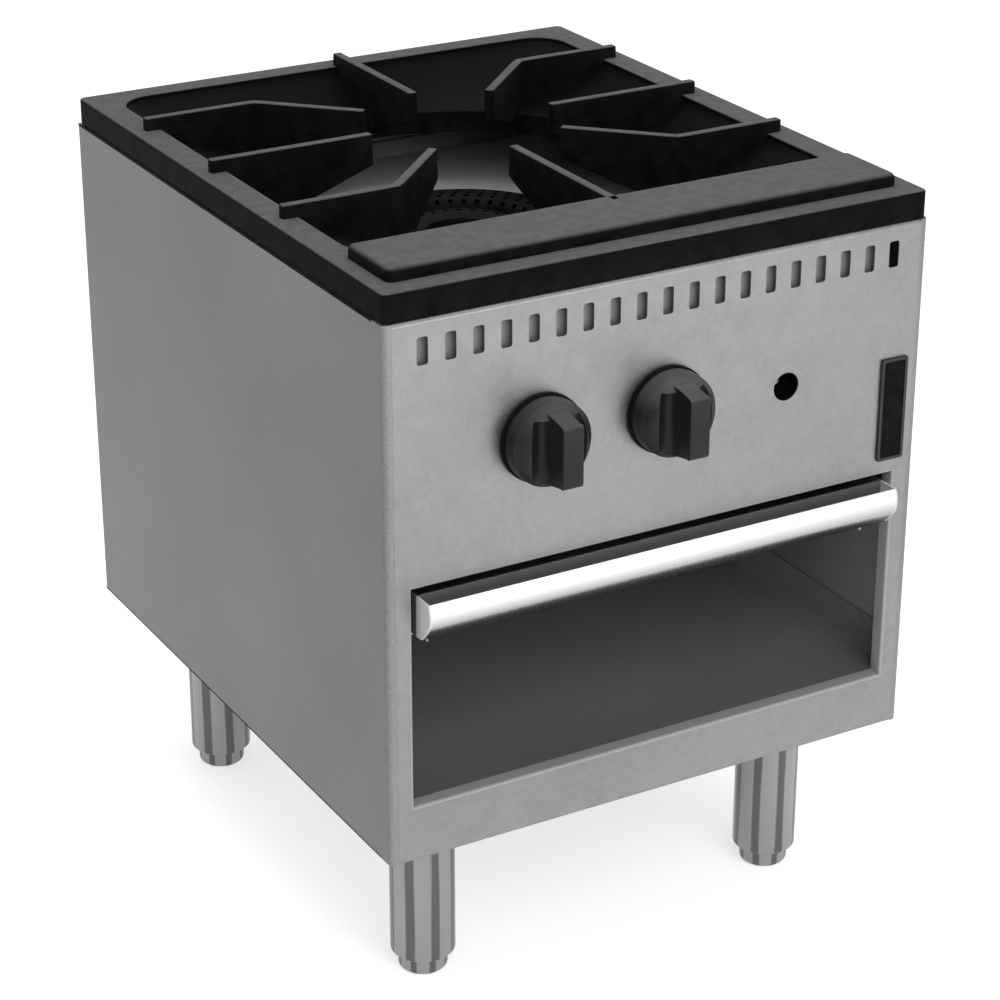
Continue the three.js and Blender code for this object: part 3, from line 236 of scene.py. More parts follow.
class Form:
    """A mesh in the making, from prisms, plates, turned profiles and lofts."""

    def __init__(self) -> None:
        """Starts with nothing in it."""
        self.bm = bmesh.new()

    def _ring(self, places: Iterable[Vector]) -> list[bmesh.types.BMVert]:
        """Adds vertices and returns them."""
        return [self.bm.verts.new(place) for place in places]

    def _walls(self, low: Sequence, high: Sequence) -> None:
        """Faces between two closed rows of vertices.

        Args:
            low: One row.
            high: The other, vertex for vertex.
        """
        for i, vert in enumerate(low):
            j = (i + 1) % len(low)
            self.bm.faces.new((vert, low[j], high[j], high[i]))

    def prism(self, outline: Sequence[Point2], axis: Axis, start: float, end: float) -> "Form":
        """Closed outline carried along an axis, with flat ends.

        Args:
            outline: The closed outline.
            axis: The axis.
            start: Where one end lies.
            end: Where the other lies.

        Returns:
            The form itself.
        """
        low = self._ring(axis.place(p, start) for p in outline)
        high = self._ring(axis.place(p, end) for p in outline)
        self._walls(low, high)
        self.bm.faces.new(low)
        self.bm.faces.new(high)
        return self

    def box(self, x: Point2, y: Point2, z: Point2) -> "Form":
        """Block between two values on each axis."""
        return self.prism(box_outline(x, y), Axis.Z, z[0], z[1])

    def plate(
        self,
        outline: Sequence[Point2],
        holes: Sequence[Sequence[Point2]],
        axis: Axis,
        start: float,
        end: float,
        chamfer: float = 0.0,
    ) -> "Form":
        """Flat plate with holes through it.

        Args:
            outline: The plate's edge, counter-clockwise as the holes are.
            holes: Outlines of the holes.
            axis: Direction through the plate.
            start: One face's place along the axis.
            end: The other face's place.
            chamfer: Width taken off the first face's edges.

        Returns:
            The form itself.
        """
        faces: list[list[bmesh.types.BMEdge]] = [[], []]
        shoulder = start + math.copysign(chamfer, end - start)
        for number, loop in enumerate([outline, *holes]):
            rows = [self._ring(axis.place(p, depth) for p in loop) for depth in (shoulder, end)]
            self._walls(rows[0], rows[1])
            if chamfer:
                face = widened(loop, chamfer if number else -chamfer)
                rows.insert(0, self._ring(axis.place(p, start) for p in face))
                self._walls(rows[0], rows[1])
            for side, row in enumerate((rows[0], rows[-1])):
                for i, vert in enumerate(row):
                    faces[side].append(self.bm.edges.get((vert, row[(i + 1) % len(row)])))
        for edges in faces:
            self.fill(edges)
        return self

    def fill(self, edges: list[bmesh.types.BMEdge]) -> None:
        """Flat faces between closed runs of edges."""
        bmesh.ops.triangle_fill(self.bm, use_beauty=True, use_dissolve=False, edges=edges)

    def turned(
        self, profile: Sequence[Point2], centre: Point3, axis: Axis = Axis.Z, steps: int = 64
    ) -> "Form":
        """Profile of (radius, height) points turned about an axis.

        Args:
            profile: From one end to the other; a point on the axis closes that end.
            centre: A point on the axis, from which heights are measured.
            axis: The axis' direction.
            steps: Number of sides.

        Returns:
            The form itself.
        """
        first, second, along = axis.value
        rows: list[list[bmesh.types.BMVert]] = []
        for radius, height in profile:
            spots = circle((0, 0), radius, steps) if radius > TINY else [(0.0, 0.0)]
            places = []
            for a, b in spots:
                place = list(centre)
                place[first] += a
                place[second] += b
                place[along] += height
                places.append(Vector(place))
            rows.append(self._ring(places))
        for low, high in zip(rows, rows[1:]):
            self._join_rows(low, high)
        return self

    def _join_rows(self, low: list, high: list) -> None:
        """Faces between two turned rows, either of which may be a single point.

        Args:
            low: One row.
            high: The other.
        """
        if len(low) == len(high) == 1:
            return
        if len(low) > 1 and len(high) > 1:
            self._walls(low, high)
            return
        tip, ring = (low[0], high) if len(low) == 1 else (high[0], low)
        for i, vert in enumerate(ring):
            self.bm.faces.new((tip, vert, ring[(i + 1) % len(ring)]))

    def loft(self, loops: Sequence[Sequence[Point3]], caps: bool = True, ring: bool = False) -> "Form":
        """Skin through closed loops of points, one to one.

        Args:
            loops: The loops in order.
            caps: Whether the first and last loops are filled.
            ring: Whether the last loop joins the first.

        Returns:
            The form itself.
        """
        rows = [self._ring(Vector(p) for p in loop) for loop in loops]
        for low, high in zip(rows, rows[1:]):
            self._walls(low, high)
        if ring:
            self._walls(rows[-1], rows[0])
        elif caps:
            self.bm.faces.new(rows[0])
            self.bm.faces.new(rows[-1])
        return self

    def mirror_x(self) -> "Form":
        """The same form on the other side of the object."""
        bmesh.ops.scale(self.bm, vec=(-1, 1, 1), verts=self.bm.verts)
        return self

    def mesh(self, name: str) -> bpy.types.Mesh:
        """Finished mesh, smooth but for its sharp edges.

        Args:
            name: Name of the mesh.

        Returns:
            The mesh.
        """
        bmesh.ops.remove_doubles(self.bm, verts=self.bm.verts, dist=TINY)
        bmesh.ops.recalc_face_normals(self.bm, faces=self.bm.faces)
        made = bpy.data.meshes.new(name)
        self.bm.to_mesh(made)
        self.bm.free()
        return shaded(made, SMOOTH)


def linked(name: str, mesh: bpy.types.Mesh) -> bpy.types.Object:
    """Object for a mesh, in the scene.

    Args:
        name: The object's name.
        mesh: Its mesh.

    Returns:
        The object.
    """
    made = bpy.data.objects.new(name, mesh)
    bpy.context.scene.collection.objects.link(made)
    return made


class Cut(Enum):
    """How one form changes another."""

    AWAY = "DIFFERENCE"
    COMMON = "INTERSECT"


def carved(form: Form, cutter: Form, how: Cut, smooth: float = SMOOTH) -> bpy.types.Mesh:
    """Mesh of a form changed by another.

    Args:
        form: The form that is kept.
        cutter: The form that changes it.
        how: Whether the cutter is taken away, or only what both hold is kept.
        smooth: Greatest angle between faces shaded as one, in degrees.

    Returns:
        The mesh that is left.
    """
    body, tool = linked("carved", form.mesh("carved")), linked("cutter", cutter.mesh("cutter"))
    change = body.modifiers.new("cut", "BOOLEAN")
    change.operation = how.value
    change.solver = "EXACT"
    change.object = tool
    graph = bpy.context.evaluated_depsgraph_get()
    made = bpy.data.meshes.new_from_object(body.evaluated_get(graph))
    for spent in (body, tool):
        bpy.data.objects.remove(spent)
    return shaded(made, smooth)


def soften(piece: bpy.types.Object, width: float, segments: int = 2) -> None:
    """Rounds a piece's sharp edges.

    Args:
        piece: The piece.
        width: Width of the rounding.
        segments: Steps in it.
    """
    bevel = piece.modifiers.new("edges", "BEVEL")
    bevel.width = width
    bevel.segments = segments
    bevel.limit_method = "ANGLE"
    bevel.angle_limit = math.radians(ROUNDED_FROM)
    bevel.harden_normals = True


# ---- Shared surface effects ----------------------------------------------------------------


class Sockets(Enum):
    """Kinds of input and output on an effect."""

    NUMBER = "NodeSocketFloat"
    COLOUR = "NodeSocketColor"


class Wiring:
    """Adds nodes to a tree and joins them."""

    def __init__(self, tree: bpy.types.NodeTree) -> None:
        """Keeps the tree."""
        self.tree = tree

    def add(self, kind: str, **settings: object) -> bpy.types.Node:
        """New node with its properties set.

        Args:
            kind: The node's type.
            settings: Its properties.

        Returns:
            The node.
        """
        node = self.tree.nodes.new(kind)
        for key, value in settings.items():
            setattr(node, key, value)
        return node

    def join(self, source: object, target: object) -> None:
        """Link from an output, or plain value, to an input.

        Args:
            source: The output or value.
            target: The input.
        """
        if isinstance(source, bpy.types.NodeSocket):
            self.tree.links.new(source, target)
        elif isinstance(source, tuple) and target.type == "RGBA":
            target.default_value = (*source[:3], 1.0)
        else:
            target.default_value = source

    def maths(self, operation: str, first: object, second: object = 0.0) -> bpy.types.NodeSocket:
        """Result of an operation on two values.

        Args:
            operation: The operation.
            first: One value.
            second: The other.

        Returns:
            The socket that carries it.
        """
        node = self.add("ShaderNodeMath", operation=operation)
        self.join(first, node.inputs[0])
        self.join(second, node.inputs[1])
        return node.outputs[0]

    def remap(
        self, value: object, low: object, high: object, to_low: object = 0.0, to_high: object = 1.0
    ) -> bpy.types.NodeSocket:
        """Value moved from one range to another, held within it.

        Args:
            value: The value.
            low: Start of its range.
            high: End of its range.
            to_low: What the start becomes.
            to_high: What the end becomes.

        Returns:
            The socket that carries it.
        """
        node = self.add("ShaderNodeMapRange")
        for socket, given in zip(node.inputs, (value, low, high, to_low, to_high)):
            self.join(given, socket)
        return node.outputs[0]

    def uneven(self, mask: object, middle: float, less: float, more: float) -> bpy.types.NodeSocket:
        """Value a little below or above a middle one, by a mask."""
        return self.remap(mask, 0.3, 0.7, middle - less, middle + more)

    def times(self, first: object, second: object) -> bpy.types.NodeSocket:
        """Product of two values."""
        return self.maths("MULTIPLY", first, second)

    def noise(self, scale: object, detail: float = 3.0, vector: object = None) -> bpy.types.NodeSocket:
        """Noise over the object, from 0 to 1.

        Args:
            scale: Patches to the metre.
            detail: Levels of finer noise.
            vector: Coordinates, or None for the object's own.

        Returns:
            The socket that carries it.
        """
        node = self.add("ShaderNodeTexNoise")
        node.inputs["Detail"].default_value = detail
        self.join(scale, node.inputs["Scale"])
        self.join(vector if vector is not None else self.place(), node.inputs["Vector"])
        return node.outputs["Fac"]

    def place(self) -> bpy.types.NodeSocket:
        """Coordinates on the object, in metres."""
        return self.add("ShaderNodeTexCoord").outputs["Object"]

    def stretched(self, shape: Point3) -> bpy.types.NodeSocket:
        """Coordinates on the object scaled along each axis.

        Args:
            shape: Scale on x, y and z.

        Returns:
            The socket that carries it.
        """
        node = self.add("ShaderNodeMapping")
        self.join(self.place(), node.inputs["Vector"])
        node.inputs["Scale"].default_value = shape
        return node.outputs["Vector"]

    def split(self, vector: bpy.types.NodeSocket) -> tuple[bpy.types.NodeSocket, ...]:
        """The x, y and z of a vector.

        Args:
            vector: The vector.

        Returns:
            Three sockets.
        """
        node = self.add("ShaderNodeSeparateXYZ")
        self.join(vector, node.inputs[0])
        return tuple(node.outputs)

    def normal(self) -> bpy.types.NodeSocket:
        """Direction that the surface faces."""
        return self.add("ShaderNodeNewGeometry").outputs["Normal"]

    def mix(self, share: object, first: object, second: object) -> bpy.types.NodeSocket:
        """Mixture of two colours.

        Args:
            share: Share of the second.
            first: One colour.
            second: The other.

        Returns:
            The socket that carries it.
        """
        node = self.add("ShaderNodeMix", data_type="RGBA")
        self.join(share, node.inputs["Factor"])
        for given, socket in ((first, node.inputs[6]), (second, node.inputs[7])):
            self.join(given, socket)
        return node.outputs[2]

    def bump(self, height: object, strength: float, distance: float) -> bpy.types.NodeSocket:
        """Normal raised by a height.

        Args:
            height: The height.
            strength: How strongly it shows.
            distance: What a height of 1 stands for.

        Returns:
            The socket that carries it.
        """
        node = self.add("ShaderNodeBump")
        node.inputs["Strength"].default_value = strength
        node.inputs["Distance"].default_value = distance
        self.join(height, node.inputs["Height"])
        return node.outputs["Normal"]


class Effect(Enum):
    """Surface effects that several finishes share."""

    WEAR = "edge_wear"
    CLOUDS = "cloudy_tone"
    GRAIN = "cast_grain"
    BRUSH = "brushed_lines"
    SETTLED = "settled_dust"
    FACING = "facing_masks"


class EffectShelf:
    """Builds each shared effect once, as a node group."""

    def __init__(self) -> None:
        """Starts with no effect built."""
        self._groups: dict[Effect, bpy.types.NodeTree] = {}

    def group(self, effect: Effect) -> bpy.types.NodeTree:
        """The effect's node group, built when first asked for.

        Args:
            effect: Which effect.

        Returns:
            Its group.
        """
        if effect not in self._groups:
            build = {
                Effect.WEAR: self._edge_wear,
                Effect.CLOUDS: self._cloudy_tone,
                Effect.GRAIN: self._cast_grain,
                Effect.BRUSH: self._brushed_lines,
                Effect.SETTLED: self._settled_dust_and_sheen,
                Effect.FACING: self._facing_masks,
            }[effect]
            self._groups[effect] = build(effect.value)
        return self._groups[effect]

    def use(self, wiring: Wiring, effect: Effect, **inputs: object) -> bpy.types.Node:
        """Places an effect in a material.

        Args:
            wiring: The material's wiring.
            effect: Which effect.
            inputs: Values by input name, with _ for each space.

        Returns:
            The group node.
        """
        node = wiring.add("ShaderNodeGroup", node_tree=self.group(effect))
        for name, value in inputs.items():
            wiring.join(value, node.inputs[name.replace("_", " ")])
        return node

    @staticmethod
    def _start(
        name: str, inputs: dict[str, tuple[Sockets, object]], outputs: dict[str, Sockets]
    ) -> tuple[Wiring, bpy.types.Node, bpy.types.Node]:
        """New group with its sockets.

        Args:
            name: The group's name.
            inputs: Kind and usual value by input name.
            outputs: Kind by output name.

        Returns:
            The wiring, the input node and the output node.
        """
        tree = bpy.data.node_groups.new(name, "ShaderNodeTree")
        for label, (kind, usual) in inputs.items():
            socket = tree.interface.new_socket(label, in_out="INPUT", socket_type=kind.value)
            socket.default_value = usual
        for label, kind in outputs.items():
            tree.interface.new_socket(label, in_out="OUTPUT", socket_type=kind.value)
        wiring = Wiring(tree)
        return wiring, wiring.add("NodeGroupInput"), wiring.add("NodeGroupOutput")

    def _edge_wear(self, name: str) -> bpy.types.NodeTree:
        """Mask of rubbed outer edges, broken up by noise.

        Args:
            name: The group's name.

        Returns:
            The group.
        """
        number = Sockets.NUMBER
        wiring, given, out = self._start(
            name,
            {"Start": (number, 0.52), "Full": (number, 0.6), "Patch Scale": (number, 60.0)},
            {"Mask": number},
        )
        point = wiring.add("ShaderNodeNewGeometry").outputs["Pointiness"]
        edge = wiring.remap(point, given.outputs["Start"], given.outputs["Full"])
        patches = wiring.remap(wiring.noise(given.outputs["Patch Scale"]), 0.35, 0.6)
        wiring.join(wiring.times(edge, patches), out.inputs["Mask"])
        return wiring.tree

    def _cloudy_tone(self, name: str) -> bpy.types.NodeTree:
        """Colour made lighter and darker in soft patches of two sizes.

        Args:
            name: The group's name.

        Returns:
            The group.
        """
        number = Sockets.NUMBER
        wiring, given, out = self._start(
            name,
            {
                "Colour": (Sockets.COLOUR, (0.5, 0.5, 0.5, 1.0)),
                "Strength": (number, 0.1),
                "Broad Scale": (number, 6.0),
                "Fine Scale": (number, 180.0),
            },
            {"Colour": Sockets.COLOUR, "Mask": number},
        )
        broad = wiring.noise(given.outputs["Broad Scale"], 2.0)
        fine = wiring.noise(given.outputs["Fine Scale"], 4.0)
        both = wiring.times(wiring.maths("ADD", broad, fine), 0.5)
        swing = wiring.times(wiring.maths("SUBTRACT", both, 0.5), 4.0)
        factor = wiring.maths("ADD", wiring.times(swing, given.outputs["Strength"]), 1.0)
        scale = wiring.add("ShaderNodeVectorMath", operation="SCALE")
        wiring.join(given.outputs["Colour"], scale.inputs[0])
        wiring.join(factor, scale.inputs["Scale"])
        wiring.join(scale.outputs["Vector"], out.inputs["Colour"])
        wiring.join(both, out.inputs["Mask"])
        return wiring.tree

    def _cast_grain(self, name: str) -> bpy.types.NodeTree:
        """Height of a sand-cast skin: fine grain with scattered pits.

        Args:
            name: The group's name.

        Returns:
            The group.
        """
        number = Sockets.NUMBER
        wiring, given, out = self._start(
            name,
            {"Grain Scale": (number, 900.0), "Pit Scale": (number, 260.0), "Pits": (number, 0.4)},
            {"Height": number, "Mask": number},
        )
        grain = wiring.noise(given.outputs["Grain Scale"], 5.0)
        cells = wiring.add("ShaderNodeTexVoronoi")
        wiring.join(wiring.place(), cells.inputs["Vector"])
        wiring.join(given.outputs["Pit Scale"], cells.inputs["Scale"])
        pits = wiring.remap(cells.outputs["Distance"], 0.05, 0.35, 1.0, 0.0)
        sunk = wiring.times(pits, given.outputs["Pits"])
        wiring.join(wiring.maths("SUBTRACT", grain, sunk), out.inputs["Height"])
        wiring.join(grain, out.inputs["Mask"])
        return wiring.tree

    def _brushed_lines(self, name: str) -> bpy.types.NodeTree:
        """Height of fine scratches running across the sheet.

        Args:
            name: The group's name.

        Returns:
            The group.
        """
        number = Sockets.NUMBER
        wiring, given, out = self._start(
            name, {"Line Scale": (number, 60.0)}, {"Height": number}
        )
        lines = wiring.noise(given.outputs["Line Scale"], 4.0, wiring.stretched((0.6, 0.6, 30.0)))
        wiring.join(lines, out.inputs["Height"])
        return wiring.tree

    def _settled_dust_and_sheen(self, name: str) -> bpy.types.NodeTree:
        """Mask of faces that look upwards, in patches: fine dust, and painted light from above where a
        finish asks for much of it.

        Args:
            name: The group's name.

        Returns:
            The group.
        """
        number = Sockets.NUMBER
        wiring, given, out = self._start(
            name, {"Amount": (number, 0.5), "Patch Scale": (number, 25.0)}, {"Mask": number}
        )
        up = wiring.remap(wiring.split(wiring.normal())[2], 0.3, 1.0)
        patches = wiring.remap(wiring.noise(given.outputs["Patch Scale"], 5.0), 0.35, 0.75)
        mask = wiring.times(wiring.times(up, patches), given.outputs["Amount"])
        wiring.join(mask, out.inputs["Mask"])
        return wiring.tree

    def _facing_masks(self, name: str) -> bpy.types.NodeTree:
        """Masks of faces that look to the front, and of faces turned to the middle plane, used to paint
        light on sheets.

        Args:
            name: The group's name.

        Returns:
            The group.
        """
        number = Sockets.NUMBER
        wiring, _, out = self._start(name, {}, {"Front": number, "Inward": number})
        way = wiring.split(wiring.normal())
        wiring.join(wiring.remap(way[1], -0.9, -0.3, 1.0, 0.0), out.inputs["Front"])
        across = wiring.times(wiring.split(wiring.place())[0], way[0])
        wiring.join(wiring.remap(across, -0.12, -0.06, 1.0, 0.0), out.inputs["Inward"])
        return wiring.tree


EFFECTS = EffectShelf()


# ---- Finishes ------------------------------------------------------------------------------


def blank_material(name: str) -> tuple[bpy.types.Material, Wiring, bpy.types.Node]:
    """New material.

    Args:
        name: The material's name.

    Returns:
        The material, its wiring and its Principled shader.
    """
    material = bpy.data.materials.new(name)
    material.use_nodes = True
    return material, Wiring(material.node_tree), material.node_tree.nodes["Principled BSDF"]


def feed(
    wiring: Wiring, shader: bpy.types.Node, colour: object, rough: object, normal: object,
    **plain: float,
) -> None:
    """Joins to a shader what varies, and sets on it what doesn't.

    Args:
        wiring: The material's wiring.
        shader: The Principled shader.
        colour: Its base colour.
        rough: Its roughness.
        normal: Its normal.
        plain: Other values by the input's name, with _ for each space.
    """
    for label, value in (("Base Color", colour), ("Roughness", rough), ("Normal", normal)):
        wiring.join(value, shader.inputs[label])
    for label, number in plain.items():
        shader.inputs[label.replace("_", " ")].default_value = number


@dataclass(frozen=True)
class SheetFinish:
    """Satin sheet metal with fine lines, with painted light: other colours on faces to the front or
    inwards, and painted shade along one axis.
    """

    name: str
    slot: str
    colour: Colour
    roughness: float = 0.42
    metallic: float = 0.9
    clouds: float = 0.05
    broad: float = 5.0
    fine: float = 220.0
    lines: float = 60.0
    depth: float = 0.06
    wear: float = 0.25
    # Painted light: colour for faces that look to the front, set by how the lamps light them rather
    # than by the metal.
    front: Colour | None = None
    # Painted light: lighter colour, and lower metallic below, for faces turned inwards, where the
    # inside of the cabinet gets too little light.
    painted_inward_light: Colour | None = None
    inward_metallic: float = 0.1
    # Painted shade: colour blended in from the start of the span along the axis, giving way to the
    # sheet's own colour at its end.
    painted_shade: Colour | None = None
    painted_shade_axis: Axis = Axis.Z
    painted_shade_span: Point2 = (0.0, 1.0)

    def tint(self, wiring: Wiring, facing: bpy.types.Node) -> object:
        """The sheet's colour, with painted light on faces to the front or inwards and painted shade
        along one axis.

        Args:
            wiring: The material's wiring.
            facing: Group with the masks of the two facings.

        Returns:
            A colour or the socket that carries it.
        """
        colour: object = self.colour
        # Painted light on faces to the front and on faces turned inwards.
        for mask, other in (("Front", self.front), ("Inward", self.painted_inward_light)):
            if other:
                colour = wiring.mix(facing.outputs[mask], colour, other)
        # Painted shade along one axis.
        if self.painted_shade:
            along = wiring.split(wiring.place())["XYZ".index(self.painted_shade_axis.name)]
            colour = wiring.mix(wiring.remap(along, *self.painted_shade_span), self.painted_shade, colour)
        return colour

    def material(self) -> bpy.types.Material:
        """The finish as a material.

        Returns:
            The material.
        """
        made, wiring, shader = blank_material(self.name)
        facing = EFFECTS.use(wiring, Effect.FACING)
        tone = EFFECTS.use(
            wiring, Effect.CLOUDS, Colour=self.tint(wiring, facing), Strength=self.clouds,
            Broad_Scale=self.broad, Fine_Scale=self.fine,
        )
        wear = EFFECTS.use(wiring, Effect.WEAR, Start=0.53, Full=0.62, Patch_Scale=45.0)
        light = tuple(min(1.0, c * 1.35) for c in self.colour)
        share = wiring.times(wear.outputs["Mask"], self.wear)
        lines = EFFECTS.use(wiring, Effect.BRUSH, Line_Scale=self.lines)
        feed(
            wiring, shader, wiring.mix(share, tone.outputs["Colour"], light),
            wiring.uneven(tone.outputs["Mask"], self.roughness, 0.05, 0.06),
            wiring.bump(lines.outputs["Height"], self.depth, 0.4 * MM), Metallic=self.metallic,
        )
        # Painted light: faces turned inwards are also made less metallic, so they read lighter.
        if self.painted_inward_light:
            metal = wiring.remap(
                facing.outputs["Inward"], 0.0, 1.0, self.metallic, self.inward_metallic
            )
            wiring.join(metal, shader.inputs["Metallic"])
        return made


@dataclass(frozen=True)
class CastFinish:
    """Sand-cast iron: grain and pits, edges rubbed paler, a little settled dust, and painted light on
    level top faces where a top colour is given.
    """

    name: str
    slot: str
    colour: Colour
    paler_tone: Colour
    roughness: float = 0.55
    metallic: float = 0.2
    dust_and_sheen: float = 0.15
    depth: float = 0.35
    grain: float = 700.0
    clouds: float = 0.25
    specular: float = 0.3
    # Painted light: colour of the level top faces, lighter as the light from above makes them.
    top: Colour | None = None
    painted_top_light_height: float = 0.0

    def material(self) -> bpy.types.Material:
        """The finish as a material.

        Returns:
            The material.
        """
        made, wiring, shader = blank_material(self.name)
        tone = EFFECTS.use(
            wiring, Effect.CLOUDS, Colour=self.colour, Strength=self.clouds,
            Broad_Scale=14.0, Fine_Scale=260.0,
        )
        wear = EFFECTS.use(wiring, Effect.WEAR, Start=0.52, Full=0.6, Patch_Scale=70.0)
        dust_and_sheen = EFFECTS.use(wiring, Effect.SETTLED, Amount=self.dust_and_sheen, Patch_Scale=18.0)
        share = wiring.times(wear.outputs["Mask"], 0.6)
        rubbed = wiring.mix(share, tone.outputs["Colour"], self.paler_tone)
        dust_and_painted_top_light = wiring.mix(dust_and_sheen.outputs["Mask"], rubbed, self.paler_tone)
        # Painted light: level top faces lighter.
        if self.top:
            dust_and_painted_top_light = wiring.mix(self.painted_top_light_mask(wiring), dust_and_painted_top_light, self.top)
        grain = EFFECTS.use(wiring, Effect.GRAIN, Grain_Scale=self.grain, Pit_Scale=240.0, Pits=0.35)
        feed(
            wiring, shader, dust_and_painted_top_light, wiring.uneven(grain.outputs["Mask"], self.roughness, 0.08, 0.12),
            wiring.bump(grain.outputs["Height"], self.depth, 0.6 * MM),
            Metallic=self.metallic, Specular_IOR_Level=self.specular,
        )
        return made

    def painted_top_light_mask(self, wiring: Wiring) -> bpy.types.NodeSocket:
        """Mask of the painted light on level faces from the top height upwards, thinned by fine
        patches.

        Args:
            wiring: The material's wiring.

        Returns:
            The socket that carries it.
        """
        high = wiring.remap(wiring.split(wiring.place())[2], self.painted_top_light_height - MM, self.painted_top_light_height)
        level = wiring.remap(wiring.split(wiring.normal())[2], 0.45, 0.95)
        patches = wiring.remap(wiring.noise(120.0, 5.0), 0.3, 0.65, 0.78, 1.0)
        return wiring.times(wiring.times(high, level), patches)


@dataclass(frozen=True)
class MouldedFinish:
    """Moulded plastic: fine texture, soft sheen, edges polished by handling, and upward faces paler
    where asked, as painted light.
    """

    name: str
    slot: str
    colour: Colour
    paler_tone: Colour
    roughness: float = 0.45
    depth: float = 0.08
    specular: float = 0.5
    # Paler upward faces: settled dust, and on the knob mostly painted light from above.
    dust_and_sheen: float = 0.0

    def material(self) -> bpy.types.Material:
        """The finish as a material.

        Returns:
            The material.
        """
        made, wiring, shader = blank_material(self.name)
        tone = EFFECTS.use(
            wiring, Effect.CLOUDS, Colour=self.colour, Strength=0.08,
            Broad_Scale=30.0, Fine_Scale=500.0,
        )
        wear = EFFECTS.use(wiring, Effect.WEAR, Start=0.53, Full=0.64, Patch_Scale=120.0)
        share = wiring.times(wear.outputs["Mask"], 0.4)
        rubbed = wiring.mix(share, tone.outputs["Colour"], self.paler_tone)
        # Upward faces paler: dust, and painted light from above.
        dust_and_sheen = EFFECTS.use(wiring, Effect.SETTLED, Amount=self.dust_and_sheen, Patch_Scale=9.0)
        feed(
            wiring, shader, wiring.mix(dust_and_sheen.outputs["Mask"], rubbed, self.paler_tone),
            wiring.uneven(tone.outputs["Mask"], self.roughness, 0.05, 0.05),
            wiring.bump(wiring.noise(1500.0, 2.0), self.depth, 0.2 * MM),
            Specular_IOR_Level=self.specular,
        )
        return made


@dataclass(frozen=True)
class MachinedFinish:
    """Turned or plated metal: even tone, faint rings and dulled patches."""

    name: str
    slot: str
    colour: Colour
    dull: Colour
    roughness: float = 0.3
    metallic: float = 1.0
    depth: float = 0.05

    def material(self) -> bpy.types.Material:
        """The finish as a material.

        Returns:
            The material.
        """
        made, wiring, shader = blank_material(self.name)
        patches = wiring.remap(wiring.noise(30.0, 5.0), 0.4, 0.7)
        tone = EFFECTS.use(
            wiring, Effect.CLOUDS, Colour=self.colour, Strength=0.06,
            Broad_Scale=20.0, Fine_Scale=300.0,
        )
        lines = EFFECTS.use(wiring, Effect.BRUSH, Line_Scale=90.0)
        feed(
            wiring, shader,
            wiring.mix(wiring.times(patches, 0.5), tone.outputs["Colour"], self.dull),
            wiring.remap(patches, 0.0, 1.0, self.roughness, self.roughness + 0.15),
            wiring.bump(lines.outputs["Height"], self.depth, 0.2 * MM), Metallic=self.metallic,
        )
        return made


@dataclass(frozen=True)
class PaintedReflectionTubeFinish:
    """Tube with painted reflections: lighter and darker stripes along its length by the angle round its
    axis, with fine die lines.
    """

    name: str
    slot: str
    colour: Colour
    painted_reflection_shade: Colour
    reflection_stripes: int = 8
    reflection_phase: float = 0.817
    roughness: float = 0.35
    metallic: float = 0.6
    depth: float = 0.08

    def material(self) -> bpy.types.Material:
        """The finish as a material.

        Returns:
            The material.
        """
        made, wiring, shader = blank_material(self.name)
        fine = wiring.noise(420.0, 3.0, wiring.stretched((1.0, 1.0, 0.02)))
        # Painted reflection: darker stripes by the angle round the tube.
        painted_reflections = wiring.mix(self.painted_reflection_mask(wiring, fine), self.colour, self.painted_reflection_shade)
        tone = EFFECTS.use(
            wiring, Effect.CLOUDS, Colour=painted_reflections, Strength=0.05, Broad_Scale=18.0, Fine_Scale=320.0
        )
        feed(
            wiring, shader, tone.outputs["Colour"], wiring.uneven(fine, self.roughness, 0.05, 0.08),
            wiring.bump(fine, self.depth, 0.2 * MM), Metallic=self.metallic,
        )
        return made

    def painted_reflection_mask(self, wiring: Wiring, lines: bpy.types.NodeSocket) -> bpy.types.NodeSocket:
        """Mask of the painted reflection's darker stripes round the tube, with uneven edges from its
        fine lines.

        Args:
            wiring: The material's wiring.
            lines: The fine lines.

        Returns:
            The socket that carries it.
        """
        spot = wiring.split(wiring.add("ShaderNodeTexCoord").outputs["Generated"])
        across, along = (wiring.maths("SUBTRACT", value, 0.5) for value in spot[:2])
        turn = wiring.maths("ARCTAN2", along, across)
        phase = wiring.maths("MULTIPLY_ADD", turn, self.reflection_stripes)
        phase.node.inputs[2].default_value = self.reflection_phase
        wave = wiring.maths("ADD", wiring.maths("COSINE", phase), wiring.maths("SUBTRACT", lines, 0.5))
        return wiring.remap(wave, 0.25, 0.6)


